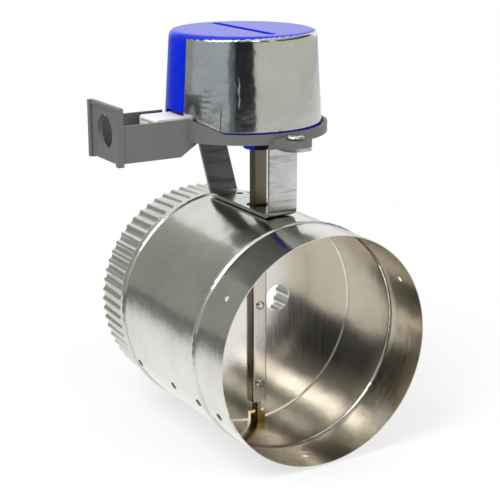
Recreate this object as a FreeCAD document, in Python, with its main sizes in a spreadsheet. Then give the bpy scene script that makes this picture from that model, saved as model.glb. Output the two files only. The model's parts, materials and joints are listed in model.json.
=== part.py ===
import FreeCAD, Part
import math
import os

import Sketcher
from FreeCAD import Placement, Rotation, Vector

# Gas vent damper: a round steel duct collar with a turning blade, and the
# motor drive that stands over it on a bent steel bracket.
# Origin at the centre of the duct's plain mouth, +Y along the duct towards its
# crimped end, +Z up along the blade's shaft. Millimetres.

SIZES = {
    # Duct: a plain mouth, two rolled beads and a crimped end for a 6 inch pipe
    "duct_bore_radius": 76.2,
    "duct_sheet": 0.6,
    "duct_length": 174.0,
    "bead_width": 5.0,
    "bead_height": 1.5,
    "front_bead_at": 35.5,
    "rear_bead_at": 136.0,
    "crimp_from": 140.5,
    "crimp_overlap": 1.0,
    "crimp_lead": 4.0,
    "crimp_depth": 1.5,
    "crimp_end_radius": 74.9,
    "crimp_flutes": 66,
    "collar_hole_radius": 2.0,
    "collar_hole_at": 16.0,
    "collar_hole_angle": 26.3,
    "lap_width": 14.0,
    "seam_angle": -153.2,
    "seam_rivet_radius": 2.6,
    "seam_rivet_head": 0.5,
    "tool_reach": 5.0,
    "blend_depth": 0.5,
    # Shaft and blade
    "shaft_at": 84.0,
    "channel_width": 11.0,
    "channel_front": 2.9,
    "channel_rear": 2.0,
    "channel_sheet": 1.0,
    "channel_bottom": -62.0,
    "channel_top": 125.5,
    "blade_edge_gap": 1.0,
    "blade_sheet": 0.8,
    "bypass_hole_radius": 9.5,
    "bypass_hole_across": 17.0,
    "bypass_hole_up": 10.0,
    "blade_rivet_radius": 1.6,
    "blade_rivet_head_radius": 3.1,
    "blade_rivet_head": 1.3,
    "blade_rivet_tail": 1.0,
    "blade_relief": 1.0,
    "upper_rivet_up": 57.0,
    "middle_rivet_up": 8.6,
    "lower_rivet_up": -48.3,
    "pivot_radius": 1.9,
    "pivot_grip": 8.0,
    "running_gap": 0.05,
    # Bushings that carry the shaft in the duct wall
    "lower_bushing_across_flats": 10.0,
    "lower_bushing_height": 5.2,
    "lower_bushing_neck_radius": 3.9,
    "lower_bushing_lip": 0.9,
    "bushing_fit": 0.02,
    "pivot_end_gap": 0.3,
    "bushing_seat_rise": 0.25,
    "bushing_flange": 1.0,
    "upper_bushing_neck_radius": 7.2,
    "upper_bushing_flange_radius": 8.6,
    "upper_bushing_stand": 1.0,
    # Bracket
    "bracket_sheet": 2.3,
    "bracket_width": 21.0,
    "bracket_bend": 3.0,
    "front_leg_at": 53.0,
    "rear_leg_foot_at": 131.0,
    "rear_leg_top_at": 154.5,
    "bracket_shaft_hole_radius": 8.0,
    "bracket_small_hole_radius": 2.7,
    "bracket_small_hole_across": 5.4,
    "bracket_small_hole_at": 117.5,
    # Actuator base: moulded tray, ears, wiring arm
    "actuator_at": 104.0,
    "actuator_up": 126.8,
    "base_floor": 2.5,
    "base_shelf": 4.7,
    "ring_radius": 56.5,
    "ring_wall": 2.5,
    "ring_height": 6.4,
    "ring_ramp_from": 52.5,
    "ring_ramp_to": 37.0,
    "spigot_wall": 1.6,
    "spigot_height": 5.5,
    "cover_play": 0.7,
    "ear_gap": 2.8,
    "ear_root": 8.0,
    "ear_thickness": 4.0,
    "ear_radius": 10.5,
    "arm_reach": 99.5,
    "arm_width": 43.0,
    "arm_wall": 2.5,
    "arm_drop": 9.0,
    "arm_rise": 14.7,
    "arm_slant_from": 58.7,
    "arm_slant_to": 44.5,
    "arm_end_wall": 1.5,
    "arm_throat": 2.0,
    "end_plate_thickness": 2.5,
    "end_plate_width": 45.0,
    "end_plate_drop": 9.8,
    "end_plate_rise": 26.0,
    "end_plate_margin": 1.0,
    "rail_width": 4.0,
    "rail_stand": 1.5,
    "rail_drop": 11.0,
    "knockout_radius": 11.1,
    "knockout_rise": 8.2,
    # Cover
    "cover_radius": 52.5,
    "cover_top_radius": 48.8,
    "cover_height": 62.5,
    "cover_wall": 2.2,
    "cover_edge": 4.0,
    "keyway_length": 77.0,
    "keyway_width": 6.0,
    "keyway_depth": 1.5,
    "cover_notch_width": 29.0,
    "cover_notch_height": 12.0,
    "cover_notch_reach": 30.0,
    "label_glue": 0.1,
    "label_thickness": 0.25,
    "label_from_bottom": 2.2,
    "label_height": 54.5,
    "label_start_angle": -167.5,
    "label_sweep": 200.0,
    # Drive
    "gear_module": 1.0,
    "output_teeth": 36,
    "pinion_teeth": 12,
    "gear_face": 6.0,
    "gear_up": 8.0,
    "tooth_backlash": 0.14,
    "hub_radius": 10.0,
    "hub_drop": 9.0,
    "hub_gap": 0.7,
    "hub_neck_radius": 6.0,
    "hub_shoulder": 1.0,
    "slot_play": 0.15,
    "cam_radius": 9.0,
    "cam_lobe": 11.0,
    "cam_lobe_sweep": 70.0,
    "cam_thickness": 5.0,
    "cam_gap": 0.8,
    "pinion_overhang": 0.5,
    "pinion_shaft_end": 1.0,
    "pinion_shaft_top": 5.0,
    "plate_up": 19.2,
    "plate_sheet": 1.5,
    "plate_radius": 44.0,
    "plate_chord": 28.0,
    "plate_hub_room": 1.5,
    "plate_pinion_room": 2.0,
    "post_radius": 3.5,
    "motor_across": 8.0,
    "motor_along": 17.0,
    "motor_radius": 20.0,
    "motor_height": 20.0,
    "gearbox_radius": 22.5,
    "gearbox_height": 9.0,
    "motor_ear_width": 9.0,
    "motor_ear_reach": 9.0,
    "motor_ear_sheet": 1.5,
    "motor_ear_hole_out": 4.5,
    "motor_cap_height": 2.0,
    "pinion_shaft_radius": 2.0,
    # Fasteners
    "base_screw_head_radius": 5.7,
    "base_screw_head": 3.4,
    "base_screw_radius": 2.4,
    "small_screw_radius": 1.4,
    "small_screw_head_radius": 2.7,
    "small_screw_head": 1.8,
    "small_screw_length": 8.0,
    "small_screw_end_gap": 1.0,
    "motor_screw_length": 4.0,
    "switch_screw_length": 9.0,
    "base_screw_end": 1.5,
    # Wiring
    "connector_width": 24.0,
    "connector_far": 71.0,
    "connector_step": 58.5,
    "connector_near": 45.5,
    "connector_top": 14.6,
    "connector_corner": 2.0,
    "cavity_size": 2.6,
    "cavity_depth": 6.0,
    "contact_set_back": 2.0,
    "contact_end": 40.0,
    "contact_size": 0.8,
    "contact_pitch": 3.6,
    "contact_count": 6,
    "board_near": 21.0,
    "board_far": 44.5,
    "board_width": 30.0,
    "board_up": 10.2,
    "board_thickness": 1.6,
    "relay_length": 9.0,
    "relay_width": 15.0,
    "relay_height": 13.0,
    "relay_in": 6.0,
    "capacitor_radius": 4.0,
    "capacitor_height": 11.0,
    "capacitor_in": 9.0,
    "capacitor_across": 9.0,
    "resistor_radius": 0.9,
    "resistor_length": 5.0,
    "resistor_span": 7.2,
    "resistor_lead": 0.5,
    "resistor_pitch": 2.2,
    "resistor_up": 1.2,
    "switch_length": 20.0,
    "switch_depth": 10.0,
    "switch_thickness": 6.4,
    "switch_across": 16.0,
    "switch_screw_pitch": 12.0,
    "switch_plunger": 1.6,
    "switch_lever_sheet": 0.4,
    "switch_lever_width": 3.0,
    "switch_lever_gap": 1.0,
    "switch_terminal_width": 2.4,
    "switch_terminal_sheet": 0.6,
    "switch_terminal_reach": 2.0,
    "switch_terminal_pitch": 6.5,
}

# Shares, turns and places across the tray that aren't sizes
BEAD_CHORDS = (-1, -0.5, 0, 0.5, 1)
CREST_PHASES = (-0.2, 0.2)
VALLEY_PHASES = (0.3, 0.7)
CROWN_ANGLES = (0, 30, 60, 90)
SWITCH_LEVER_ANGLE = 9.5
SEAM_RIVETS_AT = (17.0, 44.0, 78.0, 127.0)
PLATE_POSTS = ((24.0, -34.0), (-24.0, -34.0), (32.0, 28.0), (-20.0, 26.0))
BOARD_POSTS = ((-26.0, -10.0), (-26.0, 12.0))


class Size:
    """A length or angle that knows its value and the expression that gives it."""

    def __init__(self, text, value):
        self.text = text
        self.value = value

    def join(self, sign, other, value):
        return Size("(" + self.text + " " + sign + " " + other.text + ")", value)

    def __add__(self, other):
        other = size_of(other)
        return self.join("+", other, self.value + other.value)

    def __radd__(self, other):
        return size_of(other) + self

    def __sub__(self, other):
        other = size_of(other)
        return self.join("-", other, self.value - other.value)

    def __rsub__(self, other):
        return size_of(other) - self

    def __mul__(self, other):
        other = size_of(other)
        return self.join("*", other, self.value * other.value)

    def __rmul__(self, other):
        return size_of(other) * self

    def __truediv__(self, other):
        other = size_of(other)
        return self.join("/", other, self.value / other.value)

    def __neg__(self):
        return Size("(-1 * " + self.text + ")", -self.value)


def size_of(number):
    """A plain number as a Size, and a Size as it is."""
    if isinstance(number, Size):
        return number
    return Size(str(number), float(number))


def root(size):
    """Square root of a Size."""
    return Size("sqrt(" + size.text + ")", math.sqrt(size.value))


class Sizes:
    """The driving dimensions by name."""


doc = FreeCAD.newDocument("vent_damper")
sheet = doc.addObject("Spreadsheet::Sheet", "sizes")
dim = Sizes()
for row, (name, number) in enumerate(SIZES.items(), start=1):
    sheet.set("A" + str(row), name.replace("_", " "))
    sheet.set("B" + str(row), str(number))
    sheet.setAlias("B" + str(row), name)
    setattr(dim, name, Size("sizes." + name, float(number)))
doc.recompute()

TURNS = {
    "X": Rotation(Vector(0, 1, 0), 90),
    "Y": Rotation(Vector(1, 0, 0), -90),
    "Z": Rotation(),
}


def bind(thing, name, size):
    """Tie one property of an object to the sheet."""
    thing.setExpression(name, size_of(size).text)


def place(thing, x=0, y=0, z=0, rotation=None):
    """Put an object at x, y, z, each tied to the sheet, turned by rotation."""
    where = [size_of(v) for v in (x, y, z)]
    thing.Placement = Placement(Vector(*[v.value for v in where]), rotation or Rotation())
    for letter, size in zip("xyz", where):
        bind(thing, "Placement.Base." + letter, size)


def new_body(label, x=0, y=0, z=0):
    """A body for one sub-part, in its place."""
    body = doc.addObject("PartDesign::Body", label)
    place(body, x, y, z)
    return body


def new_sketch(body, name, plane, offset=0):
    """A sketch on one of the body's own planes, moved along its normal."""
    sketch = body.newObject("Sketcher::SketchObject", name)
    origin_plane = [f for f in body.Origin.OriginFeatures if f.Role == plane + "_Plane"][0]
    sketch.AttachmentSupport = [(origin_plane, "")]
    sketch.MapMode = "FlatFace"
    bind(sketch, "AttachmentOffset.Base.z", offset)
    return sketch


def hold_one(sketch, edge, end, kind, size):
    """Fix one point of a sketch along one axis."""
    if size.text == "0":
        axis = -2 if kind == "DistanceX" else -1
        sketch.addConstraint(Sketcher.Constraint("PointOnObject", edge, end, axis))
        return
    index = sketch.addConstraint(Sketcher.Constraint(kind, -1, 1, edge, end, size.value))
    bind(sketch, "Constraints[" + str(index) + "]", size)


def hold(sketch, edge, end, u, v):
    """Fix one point of a sketch at u across and v up."""
    hold_one(sketch, edge, end, "DistanceX", u)
    hold_one(sketch, edge, end, "DistanceY", v)


def draw_arc(sketch, start, end, radius):
    """An arc between two points: anticlockwise for a positive radius."""
    middle = (start + end) * 0.5
    half = (end - start).Length / 2
    rise = math.sqrt(max(radius * radius - half * half, 0.0))
    across = Vector(-(end - start).y, (end - start).x, 0).normalize()
    centre = middle + across * (rise if radius > 0 else -rise)
    first, last = (start, end) if radius > 0 else (end, start)
    angle_from = math.atan2(first.y - centre.y, first.x - centre.x)
    angle_to = math.atan2(last.y - centre.y, last.x - centre.x)
    circle = Part.Circle(centre, Vector(0, 0, 1), abs(radius))
    return sketch.addGeometry(Part.ArcOfCircle(circle, angle_from, angle_to), False)


def draw_loop(sketch, corners):
    """A closed outline. A corner is (u, v), or (u, v, radius) to arc to the next."""
    corners = [tuple(size_of(value) for value in corner) for corner in corners]
    points = [Vector(corner[0].value, corner[1].value, 0) for corner in corners]
    ends = []
    for index, corner in enumerate(corners):
        start, end = points[index], points[(index + 1) % len(points)]
        if len(corner) == 2:
            edge = sketch.addGeometry(Part.LineSegment(start, end), False)
            ends.append((edge, 1, 2))
            continue
        radius = corner[2]
        edge = draw_arc(sketch, start, end, radius.value)
        if abs(2 * abs(radius.value) - (end - start).Length) < 1e-6:
            level = abs(start.y - end.y) < 1e-6
            kind, size = ("DistanceY", corner[1]) if level else ("DistanceX", corner[0])
            hold_one(sketch, edge, 3, kind, size)
        else:
            rule = sketch.addConstraint(Sketcher.Constraint("Radius", edge, abs(radius.value)))
            bind(sketch, "Constraints[" + str(rule) + "]", radius if radius.value > 0 else -radius)
        ends.append((edge, 1, 2) if radius.value > 0 else (edge, 2, 1))
    for index, (edge, first, last) in enumerate(ends):
        after = ends[(index + 1) % len(ends)]
        sketch.addConstraint(Sketcher.Constraint("Coincident", edge, last, after[0], after[1]))
        hold(sketch, edge, first, corners[index][0], corners[index][1])


def draw_circle(sketch, radius, u=0, v=0):
    """A circle of a given radius at u, v."""
    radius, u, v = size_of(radius), size_of(u), size_of(v)
    circle = Part.Circle(Vector(u.value, v.value, 0), Vector(0, 0, 1), radius.value)
    edge = sketch.addGeometry(circle, False)
    rule = sketch.addConstraint(Sketcher.Constraint("Radius", edge, radius.value))
    bind(sketch, "Constraints[" + str(rule) + "]", radius)
    hold(sketch, edge, 3, u, v)


def draw_box(sketch, left, right, low, high):
    """A rectangle between two u values and two v values."""
    draw_loop(sketch, [(left, low), (right, low), (right, high), (left, high)])


def pad(body, name, sketch, length, both_ways=False):
    """Extrude a sketch along its normal, or evenly both ways."""
    feature = body.newObject("PartDesign::Pad", name)
    feature.Profile = sketch
    feature.SideType = "Symmetric" if both_ways else "One side"
    bind(feature, "Length", length)
    return feature


def pocket(body, name, sketch, length=None, both_ways=False):
    """Cut a sketch along its normal, evenly both ways, or all the way along it."""
    feature = body.newObject("PartDesign::Pocket", name)
    feature.Profile = sketch
    feature.SideType = "Symmetric" if both_ways else "One side"
    feature.Reversed = not both_ways
    if length is None:
        feature.Type = "ThroughAll"
    else:
        bind(feature, "Length", length)
    return feature


def revolve(body, name, sketch, axis="V_Axis", angle=360):
    """Turn a sketch round one of its axes, right round or by an angle."""
    feature = body.newObject("PartDesign::Revolution", name)
    feature.Profile = sketch
    feature.ReferenceAxis = (sketch, [axis])
    bind(feature, "Angle", angle)
    return feature


def fillet(body, name, feature, points, radius):
    """Round the edges of a feature that pass through the given points."""
    doc.recompute()
    names = []
    for index, edge in enumerate(feature.Shape.Edges, start=1):
        for point in points:
            if edge.distToShape(Part.Vertex(point))[0] < 0.01:
                names.append("Edge" + str(index))
    rounding = body.newObject("PartDesign::Fillet", name)
    rounding.Base = (feature, names)
    bind(rounding, "Radius", radius)
    return rounding


def box(label, length, width, height, x=0, y=0, z=0):
    """A block with its low corner at x, y, z."""
    solid = doc.addObject("Part::Box", label)
    bind(solid, "Length", length)
    bind(solid, "Width", width)
    bind(solid, "Height", height)
    place(solid, x, y, z)
    return solid


def cylinder(label, radius, height, x=0, y=0, z=0, axis="Z"):
    """A round bar that starts at x, y, z and runs along an axis."""
    solid = doc.addObject("Part::Cylinder", label)
    bind(solid, "Radius", radius)
    bind(solid, "Height", height)
    place(solid, x, y, z, TURNS[axis])
    return solid


def fuse(label, shapes):
    """Several shapes as one piece."""
    joined = doc.addObject("Part::MultiFuse", label)
    joined.Shapes = shapes
    joined.Refine = True
    return joined


def cut(label, base, tools):
    """One shape less others."""
    result = doc.addObject("Part::Cut", label)
    result.Base = base
    result.Tool = tools[0] if len(tools) == 1 else fuse(label + "_tools", tools)
    result.Refine = True
    return result


def computed(label, shape, x=0, y=0, z=0):
    """A piece whose shape is worked out from the sizes, put at x, y, z."""
    piece = doc.addObject("Part::Feature", label)
    piece.Shape = shape
    place(piece, x, y, z)
    return piece


def turned_solid(points):
    """A solid turned about the Z axis from a half profile of radius and height."""
    wire = Part.makePolygon([Vector(r, 0, z) for r, z in points + points[:1]])
    return Part.Face(wire).revolve(Vector(), Vector(0, 0, 1), 360)


def headed_fastener(radius, length, head_radius, head, tail_radius=0.0, tail=0.0):
    """A round headed rivet or screw along Z: head above z = 0, shank below it."""
    points = [(head_radius, 0.0), (head_radius, 0.3 * head), (0.55 * head_radius, head), (0.0, head)]
    points.append((0.0, -length - tail))
    if tail > 0:
        points += [(tail_radius, -length - tail), (tail_radius, -length)]
    points += [(radius, -length), (radius, 0.0)]
    return turned_solid(points)


def group(label, master, spots):
    """Equal fasteners as one node: copies of a master at each placement."""
    copies = []
    for spot in spots:
        copy = master.copy()
        copy.Placement = spot
        copies.append(copy)
    return computed(label, Part.makeCompound(copies))


# Places that several pieces share
duct_outside = dim.duct_bore_radius + dim.duct_sheet
ear_reach = dim.ring_radius + dim.base_screw_head_radius + dim.ear_gap
seam_shank_radius = 0.55 * dim.seam_rivet_radius
seam_radians = math.radians(dim.seam_angle.value)
seam_outward = Vector(math.cos(seam_radians), 0, math.sin(seam_radians))
floor_top = dim.actuator_up + dim.base_floor
shelf_top = dim.actuator_up + dim.base_shelf
ring_top = dim.actuator_up + dim.ring_height
arm_bottom = dim.actuator_up - dim.arm_drop
arm_top = dim.actuator_up + dim.arm_rise
plate_bottom = dim.actuator_up + dim.plate_up
plate_top = plate_bottom + dim.plate_sheet
board_bottom = dim.actuator_up + dim.board_up
board_top = board_bottom + dim.board_thickness
ring_inside = dim.ring_radius - dim.ring_wall
cover_inside = dim.cover_radius - dim.cover_wall
spigot_outside = cover_inside - dim.cover_play
spigot_inside = spigot_outside - dim.spigot_wall
blade_front = dim.shaft_at + dim.channel_rear
blade_radius = dim.duct_bore_radius - dim.blade_edge_gap
lower_seat = -dim.duct_bore_radius + dim.bushing_seat_rise
lower_bushing_top = lower_seat + dim.lower_bushing_height
pivot_bottom = lower_seat + dim.bushing_seat_rise
upper_seat = dim.duct_bore_radius - 2 * dim.bushing_seat_rise
upper_bushing_bottom = upper_seat - dim.bushing_flange
channel_corner = root(dim.channel_width * dim.channel_width / 4 + dim.channel_front * dim.channel_front)
gear_bottom = dim.actuator_up + dim.gear_up
output_radius = 0.5 * dim.gear_module * dim.output_teeth
pinion_radius = 0.5 * dim.gear_module * dim.pinion_teeth
pinion_at = dim.shaft_at + output_radius + pinion_radius
hub_bottom = dim.actuator_up - dim.hub_drop
cam_bottom = plate_top + dim.cam_gap
motor_at = dim.actuator_at + dim.motor_along
motor_ear_hole_at = dim.gearbox_radius + dim.motor_ear_hole_out
switch_middle = dim.switch_across + dim.switch_depth / 2
switch_screws_at = (-0.5 * dim.switch_screw_pitch, 0.5 * dim.switch_screw_pitch)


def crimp_ring(turns):
    """The fluted end: a flat-topped wave that shrinks and deepens to the rim."""
    radius, wall = dim.duct_bore_radius.value, dim.duct_sheet.value
    start, end = dim.crimp_from.value, dim.duct_length.value
    depth, rim = dim.crimp_depth.value, dim.crimp_end_radius.value
    seat = 0.15 * wall
    stations = [
        (start - dim.crimp_overlap.value, radius + wall - seat, 0.0, wall - 2 * seat),
        (start, radius + wall - seat, 0.0, wall - 2 * seat),
        (start + dim.crimp_lead.value, radius + 0.3 * wall, 0.8 * depth, wall),
        (end, rim, depth, wall),
    ]
    phases = CREST_PHASES + VALLEY_PHASES
    outer, inner = [], []
    for along, crest, drop, thickness in stations:
        outer_ring, inner_ring = [], []
        for index in range(turns):
            for phase in phases:
                angle = 2 * math.pi * (index + phase) / turns
                level = crest if phase in CREST_PHASES else crest - drop
                direction = Vector(math.cos(angle), 0, math.sin(angle))
                outer_ring.append(direction * level + Vector(0, along, 0))
                inner_ring.append(direction * (level - thickness) + Vector(0, along, 0))
        outer.append(outer_ring)
        inner.append(inner_ring)
    faces = []
    count = len(phases) * turns
    for rings in (outer, inner):
        for lower, upper in zip(rings, rings[1:]):
            for index in range(count):
                after = (index + 1) % count
                faces += quad(lower[index], lower[after], upper[after], upper[index])
    for rings in ((outer[0], inner[0]), (outer[-1], inner[-1])):
        for index in range(count):
            after = (index + 1) % count
            faces += quad(rings[0][index], rings[0][after], rings[1][after], rings[1][index])
    shell = Part.Shell(faces)
    shell.sewShape()
    solid = Part.Solid(shell)
    if solid.Volume < 0:
        solid.reverse()
    return solid


def quad(a, b, c, d):
    """Two flat triangles between four points."""
    return [Part.Face(Part.makePolygon([a, b, c, a])), Part.Face(Part.makePolygon([a, c, d, a]))]


def rolled_sheet(label, low, high, angle):
    """Sheet of the duct turned by an angle: plain, with both beads, from one level to another."""
    body = new_body(label)
    sketch = new_sketch(body, label + "_profile", "YZ")

    def bead(at, radius, sheet_level):
        """Points over one bead, a parabola in four chords."""
        half = (dim.bead_width + sheet_level - dim.duct_sheet) / 2
        return [(at + part * half, radius + (1 - part * part) * dim.bead_height)
                for part in BEAD_CHORDS]

    inside, outside = dim.duct_bore_radius + low, dim.duct_bore_radius + high
    corners = [(0, outside)]
    for at in (dim.front_bead_at, dim.rear_bead_at):
        corners += bead(at, outside, high)
    corners.append((dim.crimp_from, outside))
    beaded = [(0, inside)]
    for at in (dim.front_bead_at, dim.rear_bead_at):
        beaded += bead(at, inside, low)
    beaded.append((dim.crimp_from, inside))
    draw_loop(sketch, corners + beaded[::-1])
    revolve(body, label + "_turn", sketch, "H_Axis", angle)
    return body


def make_duct():
    """The duct: a rolled and beaded wall, its lapped seam and the crimped end."""
    wall = rolled_sheet("duct_wall", size_of(0), dim.duct_sheet, 360)
    lap_angle = dim.lap_width / duct_outside * (180 / math.pi)
    lap = rolled_sheet("seam_lap", 0.5 * dim.duct_sheet, 2 * dim.duct_sheet, lap_angle)
    lap_start = 90 - dim.seam_angle.value - 0.6 * lap_angle.value
    lap.Placement.Rotation = Rotation(Vector(0, 1, 0), lap_start)
    doc.recompute()

    crimp = computed("crimped_end", crimp_ring(SIZES["crimp_flutes"]))
    body = fuse("duct_blank", [wall, crimp, lap])
    tools = []
    beyond = duct_outside + dim.tool_reach
    for index in range(3):
        angle = dim.collar_hole_angle.value + 120 * index
        tool = cylinder("collar_hole_" + str(index), dim.collar_hole_radius, beyond)
        place(tool, 0, dim.collar_hole_at, 0, Rotation(Vector(0, 1, 0), 90 - angle))
        tools.append(tool)
    tools.append(cylinder("upper_shaft_hole", dim.upper_bushing_neck_radius, beyond, 0, dim.shaft_at))
    lower = cylinder("lower_shaft_hole", dim.lower_bushing_neck_radius, beyond)
    place(lower, 0, dim.shaft_at, 0, Rotation(Vector(1, 0, 0), 180))
    tools.append(lower)
    for index, at in enumerate(SEAM_RIVETS_AT):
        tool = cylinder("seam_rivet_hole_" + str(index), seam_shank_radius, 2 * dim.tool_reach)
        start = duct_outside - dim.tool_reach
        turn = Rotation(Vector(0, 0, 1), seam_outward)
        place(tool, start * seam_outward.x, at, start * seam_outward.z, turn)
        tools.append(tool)
    return cut("vent_pipe", body, tools)


def make_seam_rivets():
    """Flat rivets that close the lapped seam."""
    grip = 2 * dim.duct_sheet.value
    master = headed_fastener(
        seam_shank_radius.value, grip, dim.seam_rivet_radius.value, dim.seam_rivet_head.value
    )
    seat = duct_outside.value + dim.duct_sheet.value
    turn = Rotation(Vector(0, 0, 1), seam_outward)
    spots = [Placement(seam_outward * seat + Vector(0, at, 0), turn) for at in SEAM_RIVETS_AT]
    return group("seam_rivets", master, spots)


def make_lower_bushing():
    """Hexagonal brass bushing in the duct floor, with a blind bore for the pivot."""
    flats = dim.lower_bushing_across_flats
    corner = flats / math.sqrt(3)
    head = doc.addObject("Part::Prism", "bushing_hexagon")
    head.Polygon = 6
    bind(head, "Circumradius", corner)
    bind(head, "Height", dim.lower_bushing_height)
    place(head, 0, dim.shaft_at, lower_seat)
    neck_bottom = -duct_outside - dim.bushing_flange
    neck_radius = dim.lower_bushing_neck_radius - dim.bushing_fit
    neck = cylinder("bushing_neck", neck_radius, lower_seat - neck_bottom, 0, dim.shaft_at, neck_bottom)
    lip_radius = neck_radius + dim.lower_bushing_lip
    lip = cylinder("bushing_lip", lip_radius, dim.bushing_flange, 0, dim.shaft_at, neck_bottom)
    bore_bottom = pivot_bottom - dim.pivot_end_gap
    bore_radius = dim.pivot_radius + dim.running_gap
    bore_depth = lower_bushing_top - bore_bottom + dim.tool_reach
    bore = cylinder("bushing_bore", bore_radius, bore_depth, 0, dim.shaft_at, bore_bottom)
    return cut("lower_bushing", fuse("bushing_blank", [head, neck, lip]), [bore])


def make_upper_bushing():
    """Flanged brass sleeve through the duct crown that guides the channel."""
    body = new_body("upper_bushing", 0, dim.shaft_at, 0)
    sketch = new_sketch(body, "sleeve_profile", "XZ")
    bore = channel_corner + dim.running_gap
    neck = dim.upper_bushing_neck_radius - dim.bushing_fit
    flange = dim.upper_bushing_flange_radius
    top = duct_outside + dim.upper_bushing_stand
    draw_loop(
        sketch,
        [
            (bore, upper_bushing_bottom),
            (flange, upper_bushing_bottom),
            (flange, upper_seat),
            (neck, upper_seat),
            (neck, top),
            (bore, top),
        ],
    )
    revolve(body, "sleeve_turn", sketch)
    return body


def make_bracket():
    """One bent strip: foot on the duct, upright front leg, leaning rear leg, two flanges."""
    body = new_body("actuator_bracket")
    sketch = new_sketch(body, "bracket_profile", "YZ")
    sheet_t = dim.bracket_sheet
    foot = duct_outside
    seat = dim.actuator_up
    front_end = dim.actuator_at - ear_reach - dim.ear_radius
    rear_end = dim.actuator_at + ear_reach + dim.ear_radius
    front = dim.front_leg_at
    run = dim.rear_leg_top_at - dim.rear_leg_foot_at
    rise = seat - sheet_t - foot
    slope = run / rise
    slant = sheet_t * root(1 + slope * slope)
    rear_inner_foot = dim.rear_leg_foot_at - slant + slope * sheet_t
    rear_inner_top = dim.rear_leg_top_at - slant + slope * sheet_t
    corners = [
        (front_end, seat - sheet_t),
        (front, seat - sheet_t),
        (front, foot),
        (dim.rear_leg_foot_at, foot),
        (dim.rear_leg_top_at, seat - sheet_t),
        (rear_end, seat - sheet_t),
        (rear_end, seat),
        (rear_inner_top, seat),
        (rear_inner_foot, foot + sheet_t),
        (front + sheet_t, foot + sheet_t),
        (front + sheet_t, seat),
        (front_end, seat),
    ]
    draw_loop(sketch, corners)
    strip = pad(body, "bracket_strip", sketch, dim.bracket_width, both_ways=True)
    at = [Vector(0, corner[0].value, corner[1].value) for corner in [tuple(map(size_of, c)) for c in corners]]
    inner_bends = [at[1], at[9], at[8], at[4]]
    outer_bends = [at[10], at[2], at[3], at[7]]
    inner = fillet(body, "inner_bends", strip, inner_bends, dim.bracket_bend)
    outer = fillet(body, "outer_bends", inner, outer_bends, dim.bracket_bend + sheet_t)

    def round_hole(name, radius, along, spots, bottom):
        sketch_of = new_sketch(body, name + "_sketch", "XY", bottom)
        for across in spots:
            draw_circle(sketch_of, radius, across, along)
        return pocket(body, name, sketch_of, 3 * sheet_t)

    under_foot, under_seat = foot - sheet_t, seat - 2 * sheet_t
    round_hole("shaft_opening", dim.bracket_shaft_hole_radius, dim.shaft_at, [0], under_foot)
    pair = [-dim.bracket_small_hole_across, dim.bracket_small_hole_across]
    round_hole("plate_holes", dim.bracket_small_hole_radius, dim.bracket_small_hole_at, pair, under_foot)
    tap = dim.base_screw_radius + dim.running_gap
    round_hole("front_tapping", tap, dim.actuator_at - ear_reach, [0], under_seat)
    round_hole("rear_tapping", tap, dim.actuator_at + ear_reach, [0], under_seat)
    doc.recompute()
    ends = []
    for end in (front_end, rear_end):
        for side in (-0.5, 0.5):
            ends.append(Vector(side * dim.bracket_width.value, end.value, seat.value - 0.5 * sheet_t.value))
    fillet(body, "flange_rounding", body.Tip, ends, dim.ear_radius - dim.running_gap)
    return body


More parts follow.
